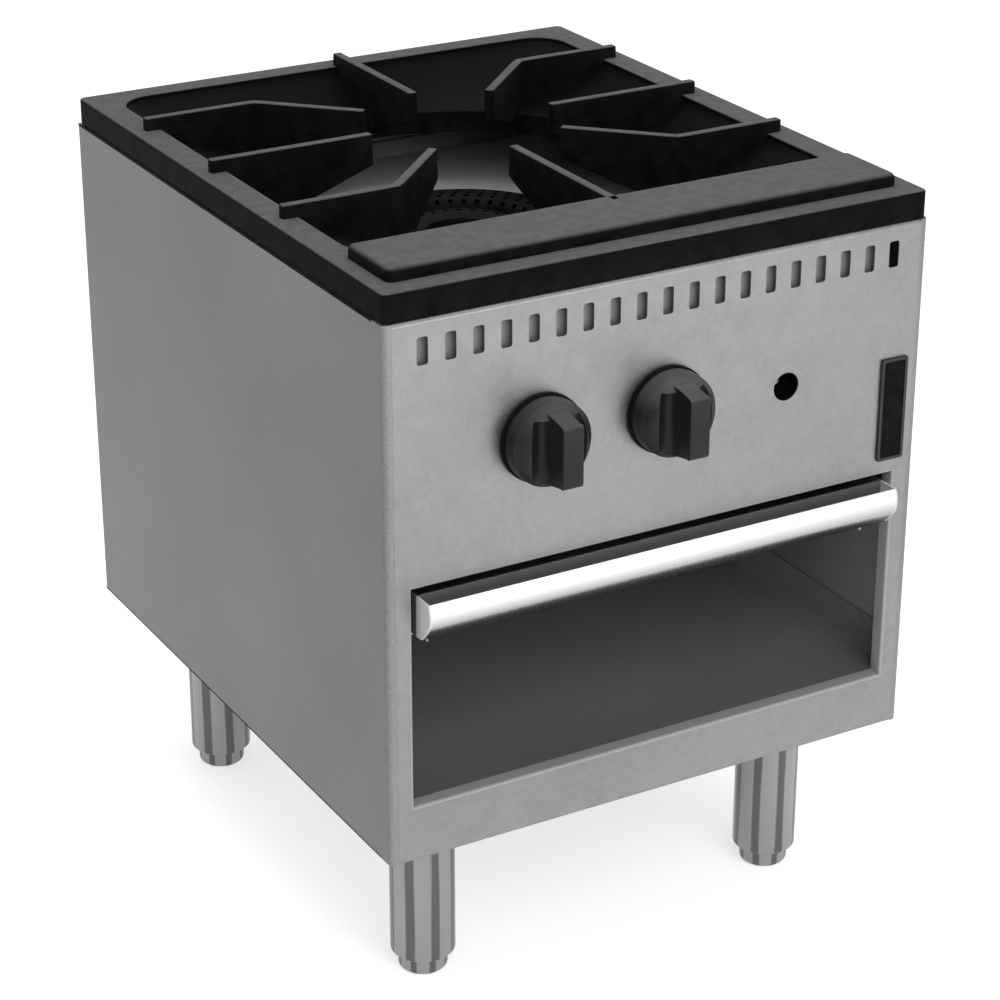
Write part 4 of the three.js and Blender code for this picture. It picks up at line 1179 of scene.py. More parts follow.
class Finish(Enum):
    """Every finish on the range."""

    FRONT = SheetFinish(
        "front_stainless", "stainless", (0.238, 0.238, 0.233), roughness=0.4, clouds=0.15
    )
    # Painted shade: the same stainless as the front panel, darker on the side sheets; their forward
    # faces take the front's colour, and faces turned inwards a lighter dull colour as painted light.
    SIDE = SheetFinish(
        "side_stainless", "stainless", (0.165, 0.165, 0.161), roughness=0.5, clouds=0.35, fine=520.0,
        front=(0.238, 0.238, 0.233), painted_inward_light=(0.3, 0.3, 0.295),
    )
    # Painted light: the rear sheet's face that looks to the front, seen through the opening, is about
    # twice as light.
    REAR = SheetFinish(
        "rear_sheet", "stainless", (0.24, 0.24, 0.235), roughness=0.5, clouds=0.12,
        front=(0.5, 0.5, 0.49),
    )
    # Painted highlight and shade: the very light base makes the polished nose read white, and painted
    # shade darkens its lower part, below 335 to 357 mm up, where it would mirror the shaded floor.
    TRAY = SheetFinish(
        "tray_stainless", "polished_stainless", (0.82, 0.82, 0.81), roughness=0.25, clouds=0.02,
        wear=0.0, depth=0.015, painted_shade=(0.1, 0.1, 0.1), painted_shade_span=(0.335, 0.357),
    )
    # Painted light: the end caps, of the same polished steel as the nose, get a light dull colour so
    # they read lit inside the recess.
    TRAY_END = SheetFinish(
        "tray_end", "polished_stainless", (0.72, 0.72, 0.71), roughness=0.5, metallic=0.1, wear=0.0
    )
    PAN = SheetFinish(
        "tray_pan", "polished_stainless", (0.18, 0.18, 0.175), roughness=0.55, metallic=0.4, clouds=0.1
    )
    RUNNER = SheetFinish(
        "runner_sheet", "inner_sheet", (0.4, 0.4, 0.39), roughness=0.55, metallic=0.1, clouds=0.08
    )
    # Painted light and shade: a light colour towards the back and painted shade towards the front,
    # evening out how the lamps light the inside of the opening.
    SHELF = SheetFinish(
        "shelf_sheet", "inner_sheet", (0.6, 0.6, 0.59), roughness=0.6, metallic=0.1, clouds=0.1,
        broad=9.0, painted_shade=(0.13, 0.13, 0.127), painted_shade_axis=Axis.Y, painted_shade_span=(-0.26, 0.24),
    )
    # Painted light: the front's stainless turned back round the opening gets a lighter dull colour so
    # the jambs read lit.
    EDGE = SheetFinish(
        "opening_edge", "stainless", (0.36, 0.36, 0.355), roughness=0.5, metallic=0.1, wear=0.0
    )
    INNER = SheetFinish(
        "inner_sheet", "inner_sheet", (0.4, 0.4, 0.39), roughness=0.55, metallic=0.3, clouds=0.1,
        broad=9.0,
    )
    DECK = SheetFinish(
        "deck_sheet", "inner_sheet", (0.3, 0.3, 0.29), roughness=0.6, metallic=0.2, clouds=0.14,
        broad=12.0,
    )
    DECK_WALL = SheetFinish(
        "deck_wall", "inner_sheet", (0.22, 0.22, 0.215), roughness=0.5, metallic=0.1, wear=0.0
    )
    # Painted light: the grate's level top faces take a lighter colour from the top height up.
    GRATE = CastFinish(
        "grate_iron", "grate_iron", (0.0032, 0.0032, 0.0032), (0.02, 0.02, 0.02), roughness=0.65,
        metallic=0.0, dust_and_sheen=0.1, clouds=0.08, specular=0.04, top=(0.115, 0.115, 0.115), painted_top_light_height=0.591,
    )
    BURNER = CastFinish(
        "burner_iron", "burner_iron", (0.0025, 0.0024, 0.0023), (0.014, 0.013, 0.012), dust_and_sheen=0.1,
        metallic=0.0, specular=0.05,
    )
    # Painted light: the large settled amount of 0.9 turns the knob's upward faces paler, as the light
    # from above makes them.
    KNOB = MouldedFinish(
        "knob_plastic", "black_plastic", (0.012, 0.012, 0.012), (0.16, 0.16, 0.16), roughness=0.42,
        specular=0.2, dust_and_sheen=0.9,
    )
    # Darker and duller than the knob's plastic, which keeps the ring round the skirt near black.
    BEZEL = MouldedFinish(
        "knob_bezel", "black_plastic", (0.003, 0.003, 0.003), (0.01, 0.01, 0.01), roughness=0.6,
        specular=0.08,
    )
    BADGE = MouldedFinish(
        "badge_black", "badge_black", (0.004, 0.004, 0.004), (0.02, 0.02, 0.02), roughness=0.6,
        specular=0.04,
    )
    BADGE_RIM = MachinedFinish(
        "badge_rim", "badge_black", (0.02, 0.02, 0.02), (0.02, 0.02, 0.02), metallic=0.3, roughness=0.5
    )
    # Painted reflection: the leg tubes' lighter and darker stripes stand for the studio mirrored in a
    # round tube.
    LEG = PaintedReflectionTubeFinish("leg_nickel", "leg_metal", (0.31, 0.315, 0.31), (0.11, 0.113, 0.112))
    ZINC = MachinedFinish("zinc_plate", "zinc_plate", (0.5, 0.5, 0.48), (0.34, 0.34, 0.32))
    BRASS = MachinedFinish("brass", "brass", (0.62, 0.44, 0.2), (0.35, 0.24, 0.12))
    PIPE = CastFinish(
        "black_pipe", "steel_bar", (0.03, 0.029, 0.028), (0.16, 0.15, 0.14), roughness=0.45,
        metallic=0.1, dust_and_sheen=0.2, depth=0.15,
    )


MATERIALS: dict[Finish, bpy.types.Material] = {}


def material_of(finish: Finish) -> bpy.types.Material:
    """The finish's material, made when first asked for.

    Args:
        finish: The finish.

    Returns:
        Its material.
    """
    if finish not in MATERIALS:
        MATERIALS[finish] = finish.value.material()
    return MATERIALS[finish]


# ---- Pieces --------------------------------------------------------------------------------


def add_piece(
    name: str,
    shape: Form | bpy.types.Mesh,
    finish: Finish,
    body: str,
    stands_for: Sequence[str] = (),
    edge: float = 0.0,
    segments: int = 2,
) -> bpy.types.Object:
    """Puts a finished piece on its body.

    Args:
        name: The piece's name.
        shape: Its form or mesh.
        finish: Its finish.
        body: The body it rides on.
        stands_for: Nodes that it replaces.
        edge: Rounding of its sharp edges, or 0 for none.
        segments: Steps in that rounding.

    Returns:
        The piece.
    """
    mesh = shape.mesh(name) if isinstance(shape, Form) else shape
    mesh.name = name
    piece = linked(name, mesh)
    piece.data.materials.append(material_of(finish))
    if edge > 0:
        soften(piece, edge, segments)
    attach(piece, body)
    if stands_for:
        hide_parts(*stands_for)
    log.info("%s: %d faces, %s, on %s", name, len(mesh.polygons), finish.value.name, body)
    return piece


def dress_node(node: str, finish: Finish) -> None:
    """Gives a node of the frame its finish and smooth round faces.

    Args:
        node: The node's name.
        finish: Its finish.
    """
    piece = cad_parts[node]
    piece.data.materials.clear()
    piece.data.materials.append(material_of(finish))
    for polygon in piece.data.polygons:
        polygon.use_smooth = True
    weld = piece.modifiers.new("weld", "WELD")
    weld.merge_threshold = WELD_REACH
    split = piece.modifiers.new("split", "EDGE_SPLIT")
    split.split_angle = math.radians(NODE_SMOOTH)
    log.info("%s: node kept, %s", node, finish.value.name)


def spans(node: str) -> tuple[Point2, Point2, Point2]:
    """Least and greatest x, y and z of a node."""
    low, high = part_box(node)
    return tuple((low[i], high[i]) for i in range(3))


CABINET = "cabinet"


@dataclass
class Shell:
    """Outer sheets of the cabinet."""

    sheet: float = SHEET
    bend: float = 5 * MM
    top_bend: float = 3 * MM
    seam: float = 7 * MM
    seam_fill: float = SEAT_GAP
    fold: float = 15 * MM
    rear_bend: float = 2 * MM
    return_clear: float = 2.5 * MM
    return_trim: Point2 = (2 * MM, 3.3 * MM)
    fold_share: float = 0.999
    opening_x: float = 208.5 * MM
    sill: float = 44.6 * MM
    control_height: float = 201 * MM
    opening_return: float = 10 * MM
    opening_edge: float = 2 * MM
    inner_bend: float = 0.5 * MM
    slot_size: Point2 = (8.8 * MM, 20.5 * MM)
    slot_corner: float = 2 * MM
    slot_pitch: float = 22 * MM
    slot_margin: float = 30.5 * MM
    rear_slot_pitch: float = 44 * MM
    slot_drop: float = 23 * MM
    control_drop: float = 105.5 * MM
    pilot: Point2 = (105.5 * MM, 110 * MM)
    control_pitch: float = 104.5 * MM
    pilot_radius: float = 11 * MM
    stem_radius: float = 6 * MM
    pipe_clear: float = 0.8 * MM
    screw_profile: tuple[Point2, ...] = (
        (0, 0.1 * MM), (0.45, 0.25 * MM), (0.8, 0.7 * MM), (0.97, 1.4 * MM), (1, 2.1 * MM),
        (0, 2.1 * MM),
    )
    cross_size: Point2 = (2.4 * MM, 0.5 * MM)
    cross_depth: float = 1.2 * MM
    screw_rows: tuple[int, ...] = (1, 2, 3)

    def build(self) -> None:
        """Makes the outer sheets."""
        self.x, self.y, self.z = spans("side_panel_left")
        self.half = -self.x[0]
        self.sides()
        self.front()
        self.rear()
        for side in ("left", "right"):
            for row in self.screw_rows:
                self.rear_screw(f"rear_screw_{side}_{row}")

    def sides(self) -> None:
        """Left and right side panels with their round front bends."""
        for side in ("left", "right"):
            (y0, y1), (z0, z1) = self.y, self.z
            seam, inner = self.seam - self.half, self.fold - self.half
            bend = (self.bend - self.half, y0 + self.bend)
            rear_bend = (self.rear_bend - self.half, y1 - self.rear_bend)
            back = y0 + self.sheet + SEAT_GAP
            plan = folded(
                [
                    (seam, back), (seam, y0), *arc(bend, self.bend, -90, -180, 10),
                    *arc(rear_bend, self.rear_bend, 180, 90, 5), (inner, y1),
                ],
                self.sheet,
            )
            form = Form().prism(plan, Axis.Z, z0, z1)
            low_trim, high_trim = self.return_trim
            form.box(
                (seam - self.sheet, -self.opening_x - self.return_clear),
                (back, back + self.sheet), (z0 + low_trim, z1 - high_trim),
            )
            for low in (z1 - self.sheet, z0):
                deep = (y0 + self.fold + SEAT_GAP, y1)
                form.box((-self.half, inner), deep, (low, low + self.sheet))
            if side == "right":
                form.mirror_x()
            nodes = [f"side_panel_{side}"]
            add_piece(f"side_sheet_{side}", form, Finish.SIDE, CABINET, nodes, FINE_EDGE)

    def slots(self, pitch: float) -> list[list[Point2]]:
        """Outlines of a row of upright slots.

        Args:
            pitch: Middle to middle.

        Returns:
            One outline for each slot.
        """
        span = 2 * (self.half - self.slot_margin)
        count = math.floor(span / pitch + TINY) + 1
        z = self.z[1] - self.slot_drop
        wide, tall = (v / 2 for v in self.slot_size)
        middles = [(i - (count - 1) / 2) * pitch for i in range(count)]
        return [
            rounded_box((x - wide, x + wide), (z - tall, z + tall), self.slot_corner, 4)
            for x in middles
        ]

    def front(self) -> None:
        """Front panel: plate, rolled top, bottom fold and the opening's turned edge."""
        (x0, x1), (y0, _), (z0, z1) = spans("front_panel")
        x0, x1 = x0 - self.seam_fill, x1 + self.seam_fill
        control_z = z1 - self.control_drop
        edge = self.opening_edge
        low, high = z0 + self.sill, z1 - self.control_height
        holes = self.slots(self.slot_pitch)
        holes.append(circle((self.pilot[0], z1 - self.pilot[1]), self.pilot_radius, 64))
        for x in (-self.control_pitch, 0.0):
            holes.append(circle((x, control_z), self.stem_radius))
        wide = (-self.opening_x - edge, self.opening_x + edge)
        holes.append(box_outline(wide, (low - edge, high + edge)))
        form = Form()
        outline = box_outline((x0, x1), (z0 + self.sheet, z1 - self.top_bend))
        form.plate(outline, holes, Axis.Y, y0, y0 + self.sheet)
        top = folded(
            [
                *arc((y0 + self.top_bend, z1 - self.top_bend), self.top_bend, 180, 90, 8),
                (y0 + self.fold, z1),
            ],
            self.sheet,
        )
        form.prism(top, Axis.X, x0, x1)
        bottom = folded(
            [
                (y0 + self.fold, z0),
                *arc((y0 + self.sheet, z0 + self.sheet), self.sheet, 270, 180, 5),
            ],
            self.sheet * self.fold_share,
        )
        form.prism(bottom, Axis.X, x0, x1)
        add_piece("front_sheet", form, Finish.FRONT, CABINET, ["front_panel"])
        add_piece("opening_edge", self.turned_edge((low, high), y0), Finish.EDGE, CABINET)

    def turned_edge(self, tall: Point2, front: float) -> Form:
        """Sheet turned back round the opening, with a small bend radius.

        Args:
            tall: Lowest and highest z of the opening.
            front: The front's y.

        Returns:
            The turned edge's form.
        """
        edge, bend = self.opening_edge, self.inner_bend
        back = front + self.sheet + self.opening_return
        outside = [(across, front + behind) for behind, across in quarter(edge)]
        inside = [
            (self.sheet + across * (edge - bend) / bend, front + edge - bend + behind)
            for behind, across in reversed(quarter(bend))
        ]
        loops = []
        for offset, y in [*outside, (0.0, back), (self.sheet, back), *inside]:
            x, low, high = self.opening_x + offset, tall[0] - offset, tall[1] + offset
            loops.append([(-x, y, low), (x, y, low), (x, y, high), (-x, y, high)])
        return Form().loft(loops, ring=True)

    def rear(self) -> None:
        """Rear panel with vents, folds and the inlet's hole."""
        (x0, x1), (y0, y1), (z0, z1) = spans("rear_panel")
        (px0, px1), _, (pz0, pz1) = spans("supply_pipe")
        holes = self.slots(self.rear_slot_pitch)
        pipe = ((px0 + px1) / 2, (pz0 + pz1) / 2)
        holes.append(circle(pipe, (px1 - px0) / 2 + self.pipe_clear, 64))
        form = Form()
        form.plate(box_outline((x0, x1), (z0, z1)), holes, Axis.Y, y1, y1 - self.sheet, FINE_EDGE)
        for low in (z0, z1 - self.sheet):
            form.box((x0, x1), (y0, y1 - self.sheet), (low, low + self.sheet))
        add_piece("rear_sheet", form, Finish.REAR, CABINET, ["rear_panel"])

    def rear_screw(self, node: str) -> None:
        """Pan-head screw with a cross recess.

        Args:
            node: The screw's node.
        """
        (x0, x1), (_, y1), (z0, z1) = spans(node)
        middle = ((x0 + x1) / 2, y1, (z0 + z1) / 2)
        head = (x1 - x0) / 2
        profile = [(head * share, -depth) for share, depth in self.screw_profile]
        form = Form().turned(profile, middle, Axis.Y, 32)
        a, b = self.cross_size
        arms = [(-b, -a), (b, -a), (b, -b), (a, -b), (a, b), (b, b)]
        arms += [(-x, -z) for x, z in arms]
        outline = [(middle[0] + x, middle[2] + z) for x, z in arms]
        cross = Form().prism(outline, Axis.Y, y1 - self.cross_depth, y1 + MM)
        add_piece(f"{node}_head", carved(form, cross, Cut.AWAY), Finish.ZINC, CABINET, [node])


@dataclass
class Grate:
    """Cast top grate: lip, rim, bowl, ledge and fingers."""

    body: str = "grate"
    burner_y: float = 35 * MM
    lip: float = 21.4 * MM
    corner: float = 5 * MM
    lip_wall: float = 9 * MM
    rim_thick: float = 9 * MM
    rim_width: float = 24 * MM
    opening_corner: float = 28 * MM
    opening_steps: int = 9
    opening_runs: int = 14
    bowl_radius: float = 152 * MM
    bowl_drop: float = 30 * MM
    bowl_wall: float = 6 * MM
    collar: float = 18 * MM
    rise: float = 10 * MM
    ledge_front: float = 19 * MM
    ledge_depth: float = 63 * MM
    ledge_side: float = 14 * MM
    ledge_corner: float = 6 * MM
    finger: float = 8.5 * MM
    tip: float = 80 * MM
    tip_depth: float = 25 * MM
    slope: float = 0.35
    turn: float = 122 * MM
    turn_near: float = 8 * MM
    lap: float = 13 * MM
    end_depth: float = 24 * MM
    end_round: tuple[Point2, ...] = ((0.0, 1.6 * MM), (0.45 * MM, 0.7 * MM), (1.4 * MM, 0.0))
    web_draft: float = 0.4 * MM
    web_round: float = 1.3 * MM
    least_corner: float = 0.8 * MM
    open_lap: Point2 = (2 * MM, 3 * MM)
    edge_round: float = 1.6 * MM
    foot_chamfer: float = 1 * MM
    bowl_start: float = 4.5 * MM
    bowl_curve: float = 1.9
    bowl_end: float = 0.985
    bowl_shares: int = 9
    first_share: float = 0.02
    bowl_lip: float = 3.4 * MM
    hole_swell: float = 1.2 * MM
    under_lap: float = 2 * MM
    web_shares: Point2 = (0.35, 0.7)
    hole_lip: tuple[Point2, ...] = ((0.35 * MM, 0.5 * MM), (0.0, 1.6 * MM))
    collar_wall: float = 4 * MM
    ledge_round: tuple[Point2, ...] = (
        (0, 5.2 * MM), (0.5 * MM, 3.2 * MM), (1.4 * MM, 1.6 * MM), (2.6 * MM, 0.6 * MM),
        (4 * MM, 0.1 * MM), (5 * MM, 0),
    )

    def build(self) -> None:
        """Makes the casting's parts."""
        self.x, self.y, self.z = spans("top_grate")
        self.top = self.z[1]
        self.rim = self.top - self.rise
        self.bottom = self.rim - self.lip
        self.half = self.x[1]
        self.inner_x = self.half - self.rim_width
        ledge = self.y[0] + self.ledge_front
        self.ledge_y = (ledge, ledge + self.ledge_depth)
        front_lap, rear_lap = self.open_lap
        self.open_y = (self.ledge_y[1] - front_lap, self.y[1] - self.rim_width + rear_lap)
        self.casting()
        self.ledge()
        self.fingers()

    def outer(self, inset: float, z: float) -> list[Point3]:
        """Outer outline moved inwards, at a height.

        Args:
            inset: How far inwards.
            z: The height.

        Returns:
            The loop.
        """
        wide = (self.x[0] + inset, self.x[1] - inset)
        deep = (self.y[0] + inset, self.y[1] - inset)
        radius = max(self.corner - inset, self.least_corner)
        return [(x, y, z) for x, y in rounded_box(wide, deep, radius, 8)]

    def opening(self, margin: float, z: float) -> list[Point3]:
        """Outline of the rim's opening moved outwards, at a height.

        Args:
            margin: How far outwards.
            z: The height.

        Returns:
            The loop.
        """
        wide = (-self.inner_x - margin, self.inner_x + margin)
        deep = (self.open_y[0] - margin, self.open_y[1] + margin)
        steps = (self.opening_steps, self.opening_runs)
        outline = rounded_box(wide, deep, self.opening_corner + margin, *steps)
        return [(x, y, z) for x, y in outline]

    def hole(self, radius: float, z: float) -> list[Point3]:
        """Circle round the burners, one point for each of the opening's.

        Args:
            radius: The circle's radius.
            z: The height.

        Returns:
            The loop.
        """
        out = []
        for x, y, _ in self.opening(0.0, z):
            angle = math.atan2(y - self.burner_y, x)
            out.append((radius * math.cos(angle), self.burner_y + radius * math.sin(angle), z))
        return out

    @staticmethod
    def between(first: list[Point3], last: list[Point3], share: float, z: float) -> list[Point3]:
        """Loop part of the way from one to another, at a height.

        Args:
            first: The loop at share 0.
            last: The loop at share 1.
            share: How far along.
            z: The height.

        Returns:
            The loop.
        """
        return [
            (a[0] + (b[0] - a[0]) * share, a[1] + (b[1] - a[1]) * share, z)
            for a, b in zip(first, last)
        ]

    def bowl_z(self, share: float) -> float:
        """Height of the bowl's skin, from its edge at 0 to the hole at 1."""
        start = self.rim - self.bowl_start
        return start + (self.rim - self.bowl_drop - start) * (1 - (1 - share) ** self.bowl_curve)

    def casting(self) -> None:
        """Lip, rim and bowl in one skin."""
        thick, hole_z = self.rim - self.rim_thick, self.rim - self.bowl_drop
        outer = [
            self.outer(self.lip_wall, self.bottom), self.outer(self.foot_chamfer, self.bottom),
            self.outer(0.0, self.bottom + self.foot_chamfer),
        ]
        outer += [self.outer(inset, self.rim - drop) for inset, drop in quarter(self.edge_round)]
        shares = [i / self.bowl_shares for i in range(1, self.bowl_shares)]
        edge, hole = self.opening(0.0, 0), self.hole(self.bowl_radius, 0)
        inner = [self.opening(margin, self.rim - drop) for drop, margin in quarter(self.edge_round)]
        inner.append(self.opening(0.0, self.rim - self.bowl_lip))
        for share in (self.first_share, *shares):
            part = share * self.bowl_end
            inner.append(self.between(edge, hole, part, self.bowl_z(part)))
        inner.append(self.hole(self.bowl_radius + self.hole_swell, self.bowl_z(self.bowl_end)))
        lip = [
            *self.hole_lip, (0.0, self.collar), (self.collar_wall, self.collar),
            (self.bowl_wall, self.bowl_wall),
        ]
        inner += [self.hole(self.bowl_radius + out, hole_z - down) for out, down in lip]
        under = self.hole(self.bowl_radius + self.bowl_wall, 0)
        inner += [
            self.between(edge, under, share, self.bowl_z(share) - self.bowl_wall)
            for share in reversed(shares)
        ]
        inner.append(self.opening(self.under_lap, thick))
        cavity = [self.outer(self.lip_wall, self.bottom), self.outer(self.lip_wall, thick)]
        form = Form()
        for loops in (outer, inner, cavity):
            form.loft(loops, caps=False)
        bmesh.ops.remove_doubles(form.bm, verts=form.bm.verts, dist=TINY)
        for z in (self.rim, thick):
            form.fill([
                e for e in form.bm.edges
                if e.is_boundary and all(abs(v.co.z - z) < TINY for v in e.verts)
            ])
        add_piece("grate_casting", form, Finish.GRATE, self.body, ["top_grate"])

    def ledge(self) -> None:
        """Raised bare ledge across the front, flush with the fingers."""
        x = self.half - self.ledge_side
        loops = []
        for inset, drop in ((0.0, self.rise + MM), *self.ledge_round):
            wide, deep = (-x + inset, x - inset), (self.ledge_y[0] + inset, self.ledge_y[1] - inset)
            radius = self.ledge_corner - inset
            loops.append([(a, b, self.top - drop) for a, b in rounded_box(wide, deep, radius, 8)])
        add_piece("grate_ledge", Form().loft(loops), Finish.GRATE, self.body)

    def web_bottom(self, distance: float) -> float:
        """Lower edge of a finger at a distance from the burners' centre."""
        reach = min(distance, self.bowl_radius)
        return self.top - self.tip_depth - self.slope * (reach - self.tip)

    def fingers(self) -> None:
        """Four straight and four bent fingers."""
        cy, side_end = self.burner_y, self.inner_x + self.lap
        runs = {
            "left": [(-self.tip, cy), (-self.bowl_radius, cy), (-side_end, cy)],
            "right": [(self.tip, cy), (self.bowl_radius, cy), (side_end, cy)],
            "rear": [
                (0, cy + self.tip), (0, cy + self.bowl_radius), (0, self.open_y[1] + self.lap / 2)
            ],
            "front": [(0, cy - self.tip), (0, cy - self.bowl_radius), (0, self.ledge_y[1] - self.lap)],
        }
        diagonal = self.tip / math.sqrt(2)
        for end, sy in (("front", -1), ("rear", 1)):
            for side, sx in (("left", -1), ("right", 1)):
                runs[f"{end}_{side}"] = [
                    (sx * diagonal, cy + sy * diagonal),
                    (sx * self.turn, cy + sy * self.turn),
                    (sx * side_end, cy + sy * self.turn),
                ]
        for name, run in runs.items():
            add_piece(f"grate_finger_{name}", self.web(run), Finish.GRATE, self.body)

    def web(self, run: list[Point2]) -> Form:
        """One finger, with draft on its sides and round upper edges.

        Args:
            run: Tip, turn and outer end, in plan.

        Returns:
            The finger's form.
        """
        centre = Vector((0, self.burner_y))
        tip, turn, end = (Vector(p) for p in run)
        first, last = (turn - tip).normalized(), (end - turn).normalized()
        length, end_low = (turn - tip).length, self.top - self.end_depth
        near = min(self.turn_near, length * 0.2)
        before, after = turn - first * near, turn + last * near
        middle = turn.lerp((before + after) / 2, 0.25)
        tip_low = self.web_bottom(self.tip)
        stations = [(tip + first * offset, tip_low, shrink) for offset, shrink in self.end_round]
        spots = [tip + first * length * share for share in self.web_shares]
        for spot in (*spots, before, middle, after):
            stations.append((spot, self.web_bottom((spot - centre).length), 0.0))
        halfway = (self.web_bottom(self.bowl_radius) + end_low) / 2
        stations.append((turn.lerp(end, 0.5), halfway, 0.0))
        for offset, shrink in reversed(self.end_round):
            stations.append((end - last * offset, end_low, shrink))
        loops = []
        for i, (spot, low, shrink) in enumerate(stations):
            before = (stations[max(i, 1)][0] - stations[max(i, 1) - 1][0]).normalized()
            j = min(i + 1, len(stations) - 1)
            after = (stations[j][0] - stations[j - 1][0]).normalized()
            run_way = (before + after).normalized()
            side = Vector((run_way.y, -run_way.x))
            stretch = 1 / max(before.dot(run_way), 0.5)
            loops.append([
                (spot.x + side.x * a * stretch, spot.y + side.y * a * stretch, z)
                for a, z in self.web_section(low, shrink)
            ])
        return Form().loft(loops)

    def web_section(self, low: float, shrink: float) -> list[Point2]:
        """Cross-section of a finger as (sideways, height).

        Args:
            low: Height of its lower edge.
            shrink: How much smaller it is at an end.

        Returns:
            The outline.
        """
        half_low = self.finger / 2 - shrink
        half_top = half_low - self.web_draft
        top = self.top - shrink * 0.6
        right = [(half_low - MM, low), (half_low, low + MM)]
        right += [(half_top - side, top - drop) for side, drop in quarter(self.web_round, 3)]
        return right + [(-a, z) for a, z in reversed(right)]


@dataclass
class Burners:
    """Both burner heads, their ports, the deck round them and the bars below."""

    centre: Point2 = (0.0, 35 * MM)
    outer: float = 106 * MM
    inner: float = 70 * MM
    head: float = 56 * MM
    bevel: float = 8 * MM
    foot_round: float = 2 * MM
    port: float = 2.2 * MM
    port_depth: float = 9 * MM
    port_pitch: float = 11 * MM
    fewest_ports: int = 6
    deck_hole: float = 114 * MM
    wall_x: Point2 = (-215 * MM, 188 * MM)
    sheet: float = SHEET
    deck_fold: float = 14 * MM
    ear_height: float = 15 * MM
    ear_radius: float = 21 * MM
    ear_x: float = -104.5 * MM
    ear_inset: float = 0.2 * MM
    post_radius: float = 5 * MM
    post_angles: tuple[float, ...] = (60, 120, 240)
    ring_rows: tuple[Point3, ...] = ((3.5 * MM, 45, 0.0), (11 * MM, 8, 0.5))
    head_rows: tuple[Point3, ...] = ((3.5 * MM, 45, 0.0), (12 * MM, 6, 0.5))

    def build(self) -> None:
        """Makes the burners and the deck."""
        self.z = spans("inner_burner_head")[2]
        self.ring()
        self.inner_head()
        self.deck()
        for side in ("left", "right"):
            dress_node(f"deck_rail_{side}", Finish.INNER)
        for end in ("front", "rear"):
            dress_node(f"burner_support_{end}", Finish.PIPE)
        for tube in ("outer", "inner"):
            dress_node(f"{tube}_mixing_tube", Finish.BURNER)

    def ports(self, rows: Sequence[tuple[float, float, float]]) -> Form:
        """Cutters for rows of ports.

        Args:
            rows: Radius, lean outwards in degrees and start turn, for each row.

        Returns:
            All the cutters as one form.
        """
        form = Form()
        for radius, lean, start in rows:
            count = max(self.fewest_ports, round(2 * math.pi * radius / self.port_pitch))
            tilt = math.radians(lean)
            spot = (radius, 0, self.z[1] - abs(math.sin(tilt)) * self.bevel / 2)
            for i in range(count):
                matrix = (
                    Matrix.Translation((*self.centre, 0))
                    @ Matrix.Rotation(2 * math.pi * (i + start) / count, 4, "Z")
                    @ Matrix.Translation(spot)
                    @ Matrix.Rotation(tilt, 4, "Y")
                )
                bmesh.ops.create_cone(
                    form.bm, cap_ends=True, segments=14, radius1=self.port, radius2=self.port,
                    depth=self.port_depth, matrix=matrix,
                )
        return form

    def crown(self, radius: float, way: int) -> list[Point2]:
        """Rounded upper edge of a head.

        Args:
            radius: Radius of the wall below it.
            way: 1 where it rounds towards the middle, -1 where away from it.

        Returns:
            Points from the wall up to the top.
        """
        steps = ((0, 1), (0.3, 0.45), (0.75, 0.12), (1.3, 0))
        return [(radius - way * self.bevel * a, self.z[1] - self.bevel * b) for a, b in steps]

    def ring(self) -> None:
        """Outer ring with rows of ports over its crown, its ear and its posts."""
        z0, y, r = self.z[0], self.centre[1], self.foot_round
        middle = (self.outer + self.inner) / 2
        profile = [
            (self.inner, z0), (self.outer - r, z0), (self.outer, z0 + r), *self.crown(self.outer, 1),
            *reversed(self.crown(self.inner, -1)), (self.inner, z0),
        ]
        rows = [(self.outer - inset, lean, start) for inset, lean, start in self.ring_rows]
        rows.append((middle, 0, 0.0))
        for inset, lean, start in reversed(self.ring_rows):
            rows.append((self.inner + inset, -lean, start))
        whole = Form().turned(profile, (*self.centre, 0), Axis.Z, FINE_ROUND)
        ring = carved(whole, self.ports(rows), Cut.AWAY)
        add_piece("outer_ring_casting", ring, Finish.BURNER, CABINET, ["outer_burner_ring"])
        half, high = self.ear_radius, z0 + self.ear_height
        boss = [(0, z0), (half, z0), (half, high - r), (half - r, high), (0, high)]
        ear = Form().turned(boss, (self.ear_x, y, 0), Axis.Z, 48)
        tall = (z0 + self.ear_inset, high - self.ear_inset)
        ear.box((self.ear_x, 4 * MM - self.outer), (y - half, y + half), tall)
        low = spans("burner_support_front")[2][1] + SEAT_GAP
        post = [(0, low), (self.post_radius, low), (self.post_radius, z0 + MM), (0, z0 + MM)]
        for angle in self.post_angles:
            a = math.radians(angle)
            ear.turned(post, (middle * math.cos(a), y + middle * math.sin(a), 0), Axis.Z, 24)
        add_piece("outer_ring_ear", ear, Finish.BURNER, CABINET, edge=0.8 * MM)

    def inner_head(self) -> None:
        """Inner head with a raised ring, a dished middle and its ports."""
        z0, z1 = self.z
        b, dish, r = self.bevel, self.head / 2, self.foot_round
        profile = [
            (0, z0), (self.head - r, z0), (self.head, z0 + r), *self.crown(self.head, 1),
            (dish + b, z1), (dish + 2 * MM, z1 - 3 * MM),
            (dish, z1 - b - 2 * MM), (dish - b, z1 - b - 2 * MM), (dish - 1.6 * b, z1 - 5 * MM),
            (dish - 2 * b, z1 - 3 * MM), (0, z1 - 2.6 * MM),
        ]
        ports = self.ports([(self.head - inset, lean, start) for inset, lean, start in self.head_rows])
        head = carved(Form().turned(profile, (*self.centre, 0), Axis.Z, 80), ports, Cut.AWAY)
        add_piece("inner_head_casting", head, Finish.BURNER, CABINET, ["inner_burner_head"])

